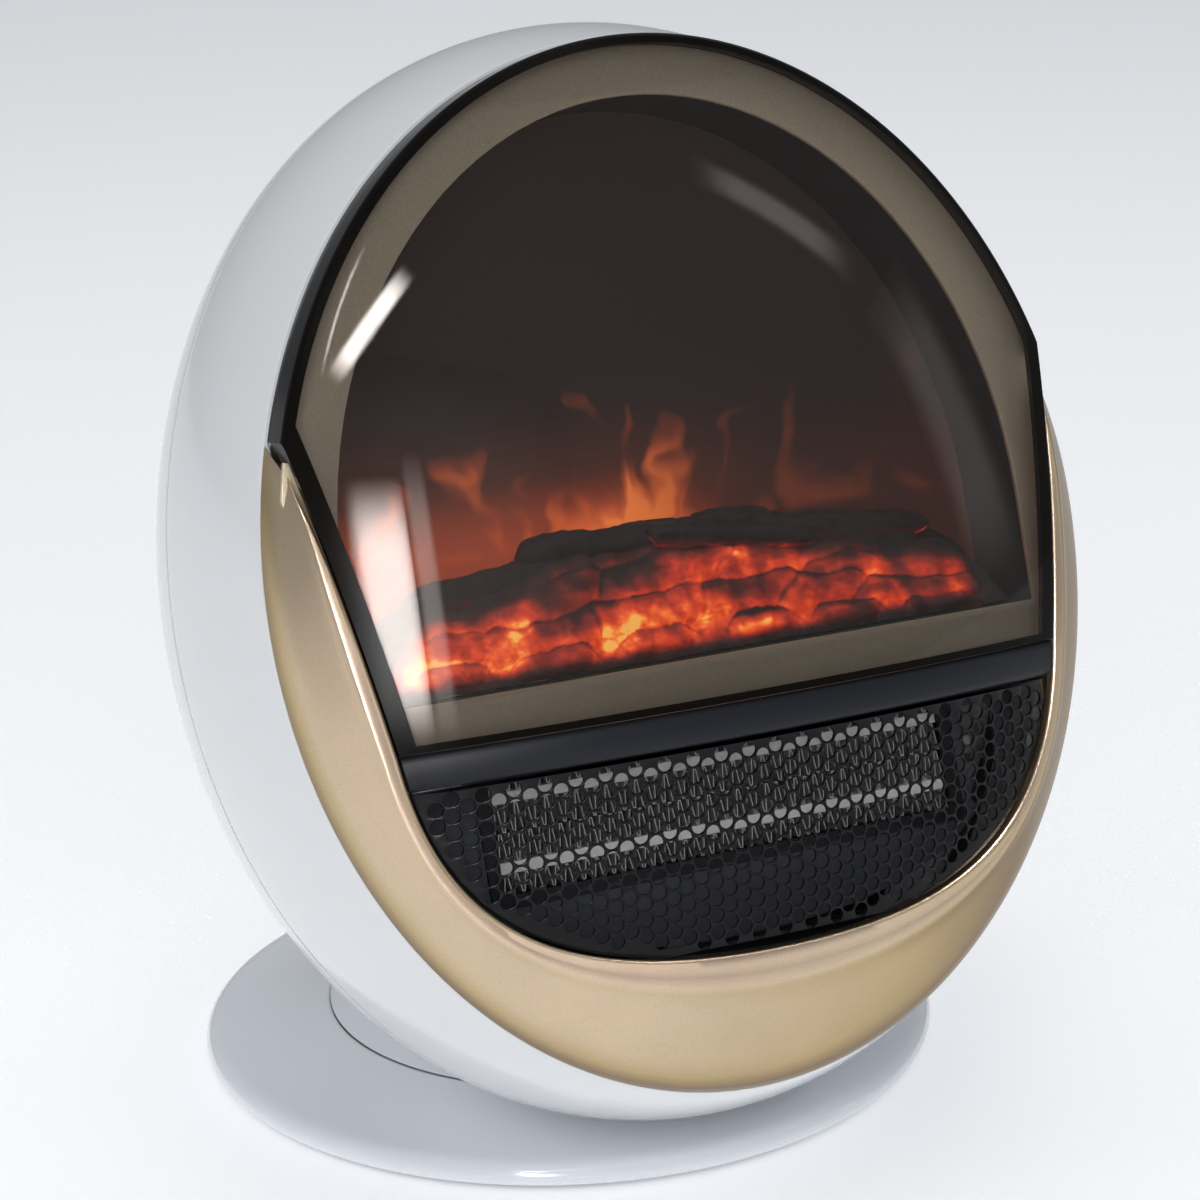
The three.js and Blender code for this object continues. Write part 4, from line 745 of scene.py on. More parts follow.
def ember_material(name, strength):
    """Painted crust of logs and coals, lit from inside where the glow attribute says."""
    made, tree, shader, place = new_material(name)
    kept = node_of(tree, "ShaderNodeAttribute", {}, attribute_name="glow").outputs["Fac"]
    glow = use_effect(tree, ember_glow, {"Vector": in_head_frame(tree, place), "Glow": kept})
    feed(tree, shader, {
        "Base Color": ramp_of(tree, glow["Crust"], [(0.3, CHAR), (0.75, [c * 3 for c in CHAR])]),
        "Emission Color": ramp_of(tree, glow["Heat"], EMBER_HEAT),
        "Emission Strength": strength,
        "Roughness": 0.75,
        "Normal": bump_of(tree, glow["Crust"], 0.0002),
    })
    return made


FINISHES = {}


def finishes():
    """Every material, built once."""
    if FINISHES:
        return FINISHES
    colours = bpy.context.scene.heater_colours
    gloss = {"depth": 0.000006, "shade": 0.015, "scratch": 0.12}
    FINISHES.update(
        shell=plastic("Gloss white shell", tuple(colours.shell), 0.16, coat=0.5, **gloss),
        base=plastic("Gloss white base", tuple(colours.base), 0.12, coat=0.6, **gloss),
        champagne=satin_champagne(tuple(colours.crescent)),
        bronze=metal("Bronze frame", (0.68, 0.56, 0.395), 0.42, 0.05, metallic=0.3),
        dark=plastic("Dark matt plastic", (0.018, 0.019, 0.024), 0.42, depth=0.00003, shade=0.2, shine=0.3),
        bar=plastic("Blue grey bar", (0.019, 0.020, 0.025), 0.32, depth=0.00002, shade=0.15, shine=0.16),
        black=plastic("Gloss black", (0.0045, 0.0045, 0.0055), 0.22, depth=0.000004, shade=0.3, shine=0.2),
        duct=plastic("Duct plastic", (0.090, 0.095, 0.112), 0.5, depth=0.00002, shade=0.2, shine=0.3),
        rubber=plastic("Rubber", (0.018, 0.018, 0.019), 0.85, grain=1500.0, depth=0.00005, shade=0.2),
        nylon=plastic("Natural nylon", (0.66, 0.64, 0.58), 0.45, shade=0.08),
        ceramic=plastic("Fired ceramic", (0.94, 0.93, 0.90), 0.5, grain=1200.0, depth=0.00003, shade=0.12),
        board=plastic("Circuit board", (0.015, 0.12, 0.05), 0.35, shade=0.2),
        rotor=plastic("Rotor plastic", (0.03, 0.031, 0.034), 0.5, shade=0.15),
        aluminium=metal("Aluminium foil", (0.80, 0.79, 0.77), 0.30, 0.04, metallic=0.8),
        steel=metal("Bare steel", (0.52, 0.53, 0.54), 0.32, 0.05),
        window=smoked_glass(tuple(colours.window), colours.window_alpha),
        seal=plastic("Window edge", (0.0060, 0.0048, 0.0040), 0.12, depth=0.000003, shade=0.2, shine=0.06),
        flames=flame_sheet(colours.flame_strength * 0.8),
        embers=ember_material("Charred logs", colours.flame_strength),
        bed=ember_material("Ember bed", colours.flame_strength),
    )
    return FINISHES


class HeaterSizes(bpy.types.PropertyGroup):
    """Sizes that a user would change."""

    hole_pitch: bpy.props.FloatProperty(
        name="Hole pitch", description="From one grille hole to the next", default=0.00476, unit="LENGTH"
    )
    hole_radius: bpy.props.FloatProperty(
        name="Hole radius", description="Radius of a grille hole", default=0.00208, unit="LENGTH"
    )
    edge_round: bpy.props.FloatProperty(
        name="Edge rounding", description="Rounding of the shells' edges", default=0.0006, unit="LENGTH"
    )
    fin_folds: bpy.props.IntProperty(
        name="Fin folds", description="Folds in one row of heater fins", default=46, min=10, max=90
    )
    slot_rows: bpy.props.IntProperty(
        name="Slot rows", description="Rows of air slots in the rear shell", default=10, min=4, max=12
    )


class HeaterColours(bpy.types.PropertyGroup):
    """Colours and light that a user would change."""

    shell: bpy.props.FloatVectorProperty(
        name="Shell", description="Colour of the body shells", default=(0.78, 0.79, 0.80), subtype="COLOR",
        max=1,
    )
    base: bpy.props.FloatVectorProperty(
        name="Base", description="Colour of the base", default=(0.86, 0.88, 0.93), subtype="COLOR", max=1
    )
    crescent: bpy.props.FloatVectorProperty(
        name="Crescent", description="Colour of the satin crescent", default=(0.64, 0.505, 0.345),
        subtype="COLOR", max=1,
    )
    window: bpy.props.FloatVectorProperty(
        name="Window", description="Tint of the smoked window", default=(0.020, 0.014, 0.011),
        subtype="COLOR", max=1,
    )
    window_alpha: bpy.props.FloatProperty(
        name="Window density", description="How much of the view the window takes", default=0.27, min=0, max=1
    )
    flame_strength: bpy.props.FloatProperty(
        name="Flame strength", description="Brightness of flames and embers", default=1.5, min=0, max=20
    )


# The body's shells.

SEAM = 0.0003  # from the joint to either shell
MOUTH_LEDGE = 0.011  # how far the front shell turns in at the mouth
SLOT_BAND = (0.002, 0.072)  # first row of slots under the axis, and the height of all rows
SLOT_CENTRE = 0.044
SLOT_REACH = 0.062
SLOT_HALF = 0.074
SLOT_RIB = 0.0045  # half of the rib between the two columns of slots
SLOT_TALL = 0.0036
CUTTER_NEAR = 0.045
CUTTER_FAR = 0.125
PANEL_OPENING = (0.0926, 0.0446, 0.0083)
CUP_RADIUS = 0.0046
SHELL_SCREWS = ((-0.088, 0.082), (0.088, 0.082), (-0.101, -0.058), (0.101, -0.058))


class HEATER_OT_shells(bpy.types.Operator):
    """Make both halves of the ball, with the joint, the mouth and the air slots"""

    bl_idname = "heater.shells"
    bl_label = "Body shells"

    def execute(self, context):
        sizes = context.scene.heater_sizes
        front = [(MOUTH_RADIUS - MOUTH_LEDGE, MOUTH)] + shell_arc(MOUTH, -SEAM, 34)
        obj = self.skin(front, "shell_front_skin", sizes.edge_round)
        dress(obj, "head", "shell_white", "shell", ["front_shell"], HEAD)
        obj = self.skin(shell_arc(SEAM, WIDEST, 2) + rear_arc(34), "shell_rear_skin", sizes.edge_round)
        carve(obj, self.rear_cutters(sizes.slot_rows))
        self.tongue()
        dress(obj, "head", "shell_white", "shell", ["rear_shell"], HEAD, angle=30)
        return {"FINISHED"}

    def skin(self, profile, name, rounding):
        """One half of the ball with its wall."""
        obj = as_object(cut_floor(spun(profile, narrow=True), FLOOR_CUT), name)
        modify(obj, "SOLIDIFY", thickness=WALL, offset=-1, use_even_offset=True)
        if rounding:
            round_edges(obj, rounding)
        return apply_all(obj)

    def tongue(self):
        """The ring behind the joint, with a rib that nearly fills the seam; really the shell's white plastic,
        it gets the dark finish as painted shade in the seam.
        """
        near, top, slim = ball_radius(0) - WALL - GAP, ball_radius(0) - 0.0002, SEAM - 0.00003
        deep, half = near - 0.001, 0.004
        ring = [(deep, -half), (deep, half), (near, half), (near, slim), (top, slim), (top, -slim),
                (near, -slim), (near, -half)]
        bm = cut_floor(spun(ring, narrow=True, closed=True), FLOOR_CUT + 0.0035)
        # The dark finish is painted shade: the real ring is white plastic in shadow.
        add(bm, "seam_shade_tongue", "head", "shell_white", "dark", place=HEAD)

    def rear_cutters(self, rows):
        """Air slots, the panel's opening, the wire hole and four screw recesses, as one cutter."""
        outlines = []
        first, band = SLOT_BAND
        for row in range(rows):
            down = first + row * (band / (rows - 1))
            share = (down - SLOT_CENTRE) / SLOT_REACH
            long = SLOT_HALF * math.sqrt(1 - share * share) - SLOT_RIB
            for side in (-1, 1):
                middle = side * (SLOT_RIB + long / 2)
                outlines.append(rounded_rectangle(long, SLOT_TALL, 0.0017, middle, -down, 4))
        outlines.append(rounded_rectangle(*PANEL_OPENING, 0, PANEL_UP, 8))
        outlines += [circle_points(x, z, CUP_RADIUS, 28) for x, z in SHELL_SCREWS]
        parts = [standing_plate(points, [], CUTTER_NEAR, CUTTER_FAR) for points in outlines]
        parts.append(moved(rod(0.014, 0.02, 0.084, "Z", 40), HEAD_BACK))
        return as_object(joined(*parts), "cutters")


class HEATER_OT_shell_screws(bpy.types.Operator):
    """Make the recessed screws that join the two halves from behind"""

    bl_idname = "heater.shell_screws"
    bl_label = "Shell screws"

    def execute(self, context):
        cup = [(0, -0.0105), (CUP_RADIUS, -0.0105), (CUP_RADIUS, -0.0012), (0.0038, -0.0012),
               (0.0038, -0.0095), (0, -0.0095)]
        for i, (x, z) in enumerate(SHELL_SCREWS):
            depth = self.rear_place(x, z)
            place = HEAD @ at(x, depth, z)
            add(spun(cup, steps=32), f"screw_cup_{i + 1}", "head", "shell_white", "shell", place=place)
            place = HEAD @ at(x, depth - 0.0094, z) @ turned("X", -90) @ Matrix.Rotation(0.4 + i, 4, "Z")
            add(screw_head(0.0031), f"shell_screw_{i + 1}", "head", "steel", "steel", place=place)
        return {"FINISHED"}

    def rear_place(self, x, z):
        share = ((x / WIDTH_SHARE) ** 2 + z * z) / BALL_RADIUS**2
        return WIDEST + REAR_REACH * math.sqrt(1 - share) - 0.0012


def screw_head(radius, tall=0.0018):
    """A pan head with a cross recess, standing on z = 0."""
    profile = [(0, 0), (radius, 0), (radius, tall * 0.35), (radius * 0.86, tall * 0.8),
               (radius * 0.5, tall), (0, tall)]
    obj = as_object(spun(profile, "Z", 28), "head")
    arm, half = radius * 0.6, 0.2 * radius * 0.6
    corner = [(half, arm), (-half, arm), (-half, half)]
    outline = []
    for turn in range(4):
        outline += corner
        corner = [(-y, x) for x, y in corner]
    cross = moved(flat_plate(outline, [], tall), at(0, 0, tall))
    carve(obj, as_object(cross, "cross"))
    bm = bmesh.new()
    bm.from_mesh(obj.data)
    bpy.data.objects.remove(obj)
    return bm


# The face: crescent, window, bar and grille.

# The crescent's front: share of the way across, and share of the way forward.
BAND_SHARES = (
    (0, 0), (0.010, 0.060), (0.035, 0.155), (0.070, 0.235), (0.115, 0.312), (0.165, 0.378), (0.22, 0.438),
    (0.29, 0.505), (0.37, 0.578), (0.45, 0.649), (0.53, 0.718), (0.61, 0.785), (0.68, 0.846), (0.725, 0.893),
    (0.755, 0.925), (0.78, 0.944), (0.81, 0.955), (0.86, 0.964), (0.92, 0.974),
)
BAND_LEAN = 0.0105  # how far the front leans back along the edge at the tips
BAND_STEP = 0.0035  # how far the front lies behind the face at the tips
BAND_LIP = 0.0011
BAND_SKIN = 0.0026
BAND_RETURN = 0.0054


class HEATER_OT_crescent(bpy.types.Operator):
    """Make the satin crescent between the ball's mouth and the opening"""

    bl_idname = "heater.crescent"
    bl_label = "Satin crescent"

    def execute(self, context):
        rings = [self.section(x, z) for x, z in throat_line(0, 26, 44)]
        obj = as_object(swept(rings), "crescent_band")
        dress(obj, "head", "champagne", "champagne", ["gold_crescent"], HEAD, angle=36)
        return {"FINISHED"}

    def section(self, x, z):
        """One section of the band, from the mouth's edge to the opening's edge and back."""
        out = (MOUTH_RADIUS - 0.0001) / math.hypot(x / WIDTH_SHARE, z)
        outer, inner = Vector((x * out, z * out)), Vector((x, z))
        width = (outer - inner).length
        seat = MOUTH - GAP
        front = face_y(x, z) + BAND_STEP * smooth(z, 0.030, TIP_UP)

        def point(across, forward, back=0.0):
            spot = outer.lerp(inner, across)
            return (spot.x, seat + (front - seat) * forward + back, spot.y)

        ring = [point(*shares) for shares in BAND_SHARES]
        lip = min(BAND_LIP, width * 0.12)
        toward = (inner - outer).normalized() if width > 1e-5 else Vector((1, 0))
        for turn in (0, 30, 60, 90):
            angle = math.radians(turn)
            spot = inner - toward * lip * (1 - math.sin(angle))
            ring.append((spot.x, front + lip * (1 - math.cos(angle)), spot.y))
        ring.append((inner.x, front + BAND_RETURN, inner.y))
        ring += [point(*shares, BAND_SKIN) for shares in ((0.8, 0.95), (0.56, 0.77), (0.28, 0.46))]
        ring.append(point(0.2, 0))
        lean = BAND_LEAN * smooth(z, 0.0, TIP_UP)
        return [self.sheared(place, seat, front, lean) for place in ring]

    def sheared(self, place, seat, front, lean):
        """Draws the front of a section back along the edge, so that the tips end in a point."""
        x, y, z = place
        down = lean * min(1.0, (y - seat) / (front - seat))
        return (x - math.copysign(EDGE_RISE * down, x), y, z - down)


class HEATER_OT_window(bpy.types.Operator):
    """Make the smoked domed window and its dark seal"""

    bl_idname = "heater.window"
    bl_label = "Smoked window"

    def execute(self, context):
        for name, operation, finish, replaced in (
            ("window_lens", "INTERSECT", "window", ["window_dome"]),
            ("window_seal", "DIFFERENCE", "seal", []),
        ):
            obj = as_object(self.dome(), name)
            carve(obj, self.prism(GAP, BAR_TOP + GAP), "INTERSECT")
            carve(obj, self.sight(), operation)
            dress(obj, "head", "smoked_window", finish, replaced, HEAD, angle=25)
        return {"FINISHED"}

    def dome(self):
        """The whole domed face with its turned-back rim."""
        wall, skirt = 0.0024, 0.003
        edge = face_y(0, FACE_RIM)
        outer = [(radius, face_y(0, radius)) for radius in spread(0, FACE_RIM - 0.0012, 56)]
        for inset, back in ((0.0004, 0.0004), (0.0001, 0.0011), (0.0, 0.0022)):
            outer.append((FACE_RIM - inset, edge + back))
        seat = FACE_RIM + 0.0007
        inner = [(r, y + wall) for r, y in outer if r < FACE_RIM - skirt - 0.001]
        ledge = [(seat, MOUTH - GAP), (seat - skirt, MOUTH - GAP), (FACE_RIM - skirt, inner[-1][1] + 0.0012)]
        return spun(outer + ledge + inner[::-1], narrow=True, steps=200)

    def prism(self, inset, low):
        """The space between the crescent's two straight edges and over the bar."""
        high = 0.2
        low_wide, high_wide = edge_wide(low, inset), edge_wide(high, inset)
        outline = [(-low_wide, low), (low_wide, low), (high_wide, high), (-high_wide, high)]
        return as_object(standing_plate(outline, [], -0.2, 0.0), "prism")

    def sight(self):
        """The clear part inside the dark edge."""
        outline = [(x * WIDTH_SHARE, z) for x, z in circle_points(0, 0, FACE_RIM - 0.0034, 200)]
        obj = as_object(standing_plate(outline, [], -0.19, -0.01), "sight")
        return carve(obj, self.prism(0.0052, BAR_TOP + 0.0024), "INTERSECT")


BAR_INSET = 0.0006  # the bar's ends from the crescent's edge
BAR_BACK = -0.050  # the shelf behind the bar reaches back to here
BAR_STEP = 0.0005  # the bar's front behind the domed face
# The bar's section: its depth behind the face, with None for the shelf's back, and its height.
BAR_SECTION = (
    (0.0030, BAR_LOW), (0.0012, BAR_LOW), (0.0003, BAR_LOW + 0.0008), (0.0, BAR_LOW + 0.0022),
    (0.0, BAR_TOP - 0.0022), (0.0004, BAR_TOP - 0.0008), (0.0013, BAR_TOP), (0.0040, BAR_TOP),
    (None, BAR_TOP), (None, BAR_TOP - 0.0030), (0.0040, BAR_TOP - 0.0030), (0.0030, BAR_TOP - 0.0034),
)


class HEATER_OT_divider_bar(bpy.types.Operator):
    """Make the dark bar between window and grille"""

    bl_idname = "heater.divider_bar"
    bl_label = "Divider bar"

    def execute(self, context):
        widths = [self.half_width(z) for back, z in BAR_SECTION]
        rings = []
        for across in spread(-1, 1, 64):
            ring = []
            for (back, z), wide in zip(BAR_SECTION, widths):
                x = across * wide
                ring.append((x, BAR_BACK if back is None else face_y(x, z) + BAR_STEP + back, z))
            rings.append(ring)
        add(swept(rings), "bar_strip", "head", "dark_plastic", "bar", ["divider_bar"], HEAD, angle=40)
        return {"FINISHED"}

    def half_width(self, z):
        if z >= BAR_TOP:
            return edge_wide(z, BAR_INSET)
        half = [p for p in throat_line(BAR_INSET, 4, 60) if p[0] <= 0 and p[1] <= BAR_TOP + MERGE]
        for (x0, z0), (x1, z1) in zip(half, half[1:]):
            if z1 <= z <= z0:
                return -(x0 + (x1 - x0) * (z - z0) / (z1 - z0))
        return BAR_WIDE


GRILLE_THICK = 0.0012
GRILLE_BEVEL = 0.00024
GRILLE_BEHIND = 0.0022  # the grille behind the domed face
GRILLE_TALL = 0.075
GRILLE_COLUMNS = 27  # columns of holes to each side of the middle one


class HEATER_OT_grille(bpy.types.Operator):
    """Make the perforated grille that follows the domed face"""

    bl_idname = "heater.grille"
    bl_label = "Outlet grille"

    def execute(self, context):
        sizes = context.scene.heater_sizes
        pitch, radius = sizes.hole_pitch, sizes.hole_radius
        high = BAR_LOW - GAP
        edge = self.outline(0.0012 + radius, high - 0.0008, high - 0.0016)
        holes = []
        for column in range(-GRILLE_COLUMNS, GRILLE_COLUMNS + 1):
            x = column * (pitch * math.sqrt(3) / 2)
            shift = pitch / 2 if column % 2 else 0
            for row in range(int(GRILLE_TALL / (pitch * 0.5)) + 2):
                z = high - 0.0014 - radius - shift - row * pitch
                if inside(edge, x, z):
                    holes.append(circle_points(x, z, radius + GRILLE_BEVEL, 14))
        bm = standing_plate(self.outline(0.0008, high, high), holes, 0, GRILLE_THICK, GRILLE_BEVEL)
        for vert in bm.verts:
            vert.co.y += face_y(vert.co.x, vert.co.z) + GRILLE_BEHIND
        add(bm, "grille_plate", "head", "gloss_black", "black", ["outlet_grille"], HEAD, angle=40)
        return {"FINISHED"}

    def outline(self, inset, under, high):
        """The opening's edge under a height, closed with a straight top edge of many points."""
        line = [p for p in throat_line(inset, 40, 60) if p[1] < under]
        left, right = line[0][0], line[-1][0]
        wide = right - left
        top = [(right - wide * i / 60, high) for i in range(1, 60)]
        return [(left, high)] + line + [(right, high)] + top


# The flame effect, in the ball's own frame.

FRAME_LAP = 0.0036  # the frame runs on past the crescent's edge
FRAME_INSET = 0.0033
FRAME_ARCH = (0.1073, 0.1366, 0.005, -0.0283)
SHEET_ARCH = (0.1081, 0.1374, 0.005, -0.0291)
BED_LOW = -0.0268
BED_FRONT = -0.0600
BED_REACH = 0.0200
# Crown line of the ember bed: place across and height.
BED_TOP = (
    (-0.107, -0.018), (-0.082, 0.001), (-0.063, 0.003), (-0.044, 0.008), (-0.030, 0.010), (-0.006, 0.013),
    (0.020, 0.012), (0.048, 0.005), (0.063, 0.003), (0.091, -0.001), (0.107, -0.016),
)
# Each charred log: x, y, z, length, radius, turn in the picture's plane, lean.
LOGS = (
    (-0.052, -0.0425, 0.0020, 0.066, 0.0058, -0.17, 0.0),
    (-0.004, -0.0420, 0.0085, 0.082, 0.0064, -0.03, 0.1),
    (0.050, -0.0425, 0.0045, 0.080, 0.0058, 0.15, 0.0),
    (0.022, -0.0470, 0.0052, 0.056, 0.0046, 0.20, 0.1),
)
# Coals and half-burnt logs of the relief: both ends across and up, and the radius.
COALS = (
    (-0.060, 0.000, -0.020, 0.007, 0.0064), (-0.021, 0.007, 0.026, 0.010, 0.0066),
    (0.024, 0.007, 0.078, -0.003, 0.0060), (-0.084, -0.008, -0.058, -0.006, 0.0058),
    (-0.052, -0.009, -0.026, -0.001, 0.0074), (-0.020, -0.004, 0.016, 0.001, 0.0070),
    (0.018, -0.004, 0.052, -0.003, 0.0062), (0.046, -0.008, 0.092, -0.013, 0.0054),
    (-0.094, -0.016, -0.066, -0.014, 0.0050), (-0.058, -0.0155, -0.030, -0.013, 0.0056),
    (-0.026, -0.012, 0.002, -0.011, 0.0060), (0.004, -0.0125, 0.034, -0.0115, 0.0052),
    (0.034, -0.0145, 0.056, -0.013, 0.0050), (0.058, -0.0165, 0.092, -0.0195, 0.0044),
    (-0.082, -0.0215, -0.068, -0.0215, 0.0034), (-0.052, -0.0210, -0.034, -0.0205, 0.0036),
    (-0.016, -0.0200, -0.004, -0.0205, 0.0034), (0.018, -0.0205, 0.030, -0.0210, 0.0034),
    (0.044, -0.0215, 0.058, -0.0220, 0.0032), (0.074, -0.0230, 0.088, -0.0235, 0.0026),
)


def noise_at(*place):
    return noise.noise(Vector(place))


class HEATER_OT_flame_frame(bpy.types.Operator):
    """Make the bronze frame with its arch"""

    bl_idname = "heater.flame_frame"
    bl_label = "Flame frame"

    def execute(self, context):
        low = BAR_TOP + GAP
        edge = BAR_WIDE + FRAME_LAP
        outer = [(edge, low)]
        for turn in spread(-25, 205, 120):
            x, z = polar(FACE_RIM - FRAME_INSET, math.radians(turn))
            most = edge_wide(z, -FRAME_LAP)
            if z > low:
                outer.append((max(-most, min(most, x * WIDTH_SHARE)), z))
        outer.append((-edge, low))
        bm = standing_plate(outer, [arch_outline(*FRAME_ARCH)], -0.0702, -0.0682, 0.0005)
        add(bm, "arch_frame", "head", "bronze_frame", "bronze", ["flame_frame"], HEAD, angle=40)
        return {"FINISHED"}


class HEATER_OT_flames(bpy.types.Operator):
    """Make the flame sheet, the ember bed and its logs, and dress the box behind them"""

    bl_idname = "heater.flames"
    bl_label = "Flames and logs"

    def execute(self, context):
        bm = standing_plate(arch_outline(*SHEET_ARCH), [], -0.034, -0.0325)
        add(bm, "flame_picture", "head", "flame_sheet", "flames", ["flame_screen"], HEAD)
        self.bed()
        for i, log in enumerate(LOGS):
            self.log(i, *log)
        finish_nodes(
            flame_box="dark", heat_shield="steel", spinner_motor="steel", flame_spinner="aluminium",
            led_board="board",
        )
        return {"FINISHED"}

    def bed(self):
        """A relief of logs and coals with its glow kept as an attribute."""
        bm = bmesh.new()
        bmesh.ops.create_grid(bm, x_segments=300, y_segments=84, size=0.5)
        layer = bm.verts.layers.float.new("glow")
        for vert in bm.verts:
            x, share = vert.co.x * 0.208, vert.co.y + 0.5
            crown = bed_crown(x)
            z = BED_LOW + (crown - BED_LOW) * share
            height, glow = log_relief(x, z, crown)
            y = BED_FRONT + share**1.25 * BED_REACH - height * 0.85
            vert.co = Vector((x, max(y, -0.0657), max(z + height * 0.35, -0.0280)))
            vert[layer] = glow
        boundary = [e for e in bm.edges if e.is_boundary]
        made = bmesh.ops.extrude_edge_only(bm, edges=boundary)["geom"]
        for vert in (g for g in made if isinstance(g, bmesh.types.BMVert)):
            vert.co = Vector((vert.co.x, -0.0370, min(vert.co.z, 0.012)))
            vert[layer] = 0.0
        face_outwards(bm)
        add(bm, "ember_mound", "head", "ember_bed", "bed", ["log_bed"], HEAD, angle=180)

    def log(self, i, x, y, z, long, radius, turn, lean):
        """One charred log that lies along the crown of the bed."""
        bm = bmesh.new()
        bmesh.ops.create_cone(
            bm, cap_ends=True, cap_tris=False, segments=28, radius1=radius, radius2=radius * 0.78, depth=long
        )
        sides = [e for e in bm.edges if abs(e.verts[0].co.z - e.verts[1].co.z) > long / 2]
        bmesh.ops.subdivide_edges(bm, edges=sides, cuts=40, use_grid_fill=True)
        layer = bm.verts.layers.float.new("glow")
        seed = Vector((i * 3.1, i * 1.7, i * 5.3))
        for vert in bm.verts:
            along = vert.co.z / radius
            around = vert.co / radius
            shift, ridge, cross = (
                noise.noise(Vector((around.x * side, around.y * side, along * ahead)) + seed) * strength
                for side, ahead, strength in ((1, 0.45, 0.30), (5, 0.9, 0.14), (1.5, 3.2, 0.14))
            )
            end = abs(2 * vert.co.z / long)
            grow = (1 + shift + ridge + cross) * math.sqrt(max(0.02, 1 - end**7))
            vert.co.x *= grow
            vert.co.y *= grow
            vert.co.x += math.sin(along * 0.35 + i) * radius * 0.18
            under = max(0.0, around.x - 0.15)
            vert[layer] = min(0.6, under * (0.5 - ridge * 3.0 - cross * 2.0))
        face_outwards(bm)
        spot = at(x, y, z) @ Matrix.Rotation(turn, 4, "Y") @ Matrix.Rotation(lean, 4, "X")
        place = HEAD @ spot @ turned("Y", 90)
        add(bm, f"fire_log_{i + 1}", "head", "ember_bed", "embers", place=place, angle=180)


def bed_crown(x):
    """Height of the ember bed's crown at a place across."""
    crown = BED_TOP[0][1]
    for (x0, t0), (x1, t1) in zip(BED_TOP, BED_TOP[1:]):
        if x0 <= x <= x1:
            crown = t0 + (t1 - t0) * (x - x0) / (x1 - x0)
    return crown + noise_at(x * 90, 0.3, 0.7) * 0.0025


def log_relief(x, z, crown):
    """Height of the coals over the bed, and how much they glow."""
    best, second, beside = -1.0, -1.0, 0.0
    bend = noise_at(x * 45, z * 60, 2.2) * 0.0030
    rough = noise_at(x * 150, z * 190, 5.1) * 0.0012
    for i, (x0, z0, x1, z1, radius) in enumerate(COALS):
        along = Vector((x1 - x0, z1 - z0))
        to_point = Vector((x - x0 + bend, z - z0 + bend * 0.7))
        share = max(0.0, min(1.0, to_point.dot(along) / along.length_squared))
        away = to_point - along * share
        size = radius * (1 + 0.25 * noise_at(share * 4, i * 2.3, 0.5))
        level = math.sqrt(max(0.0, 1 - (away.length / size) ** 2)) * size - away.length * 0.02
        if away.length > size:
            level = -(away.length - size)
        if level > best:
            best, second, beside = level, best, away.y / size
        elif level > second:
            second = level
    valley = 1 - smooth(best - max(second, -0.002), 0.0, 0.0042)
    under = smooth(-beside, -0.25, 0.95)
    patch = 0.5 + 0.9 * noise_at(x * 34 + 3, z * 55, 1.4)
    fine = 0.5 + 0.8 * noise_at(x * 170, z * 220, 8.4)
    shadow = smooth(beside, 0.15, 0.95)
    outline = 1 - smooth(best - max(second, -0.004), 0.0, 0.0011)
    glow = 0.47 + 0.62 * (patch - 0.5) + 0.22 * under - 0.36 * shadow - 0.20 * outline
    glow += 0.18 * valley * patch + 0.24 * (fine - 0.5) + 0.16 * noise_at(x * 210, z * 60, 4.4)
    glow *= smooth(crown - z, 0.0045 + 0.003 * patch, 0.0125 + 0.004 * patch)
    glow *= smooth(z, -0.0262, -0.0212) * smooth(0.100 - abs(x), 0.0, 0.014)
    return max(best, -0.001) * 0.62 + rough, max(0.0, min(1.0, glow))


# The heater element.

ELEMENT = Vector((0, -0.062, -0.0678))
FIN_WIDE = 0.0717
FIN_DEEP = 0.014
FOIL = 0.00034
# Each row of fins: its name, its height and its middle over the element's.
FIN_ROWS = (("top", 0.0054, 0.01455), ("upper", 0.0079, 0.0041), ("lower", 0.0079, -0.0041),
            ("bottom", 0.0054, -0.01455))
DUCT_HALF = 0.0764
DUCT_LOW = -0.0873
DUCT_UNDER_BAR = 0.0032


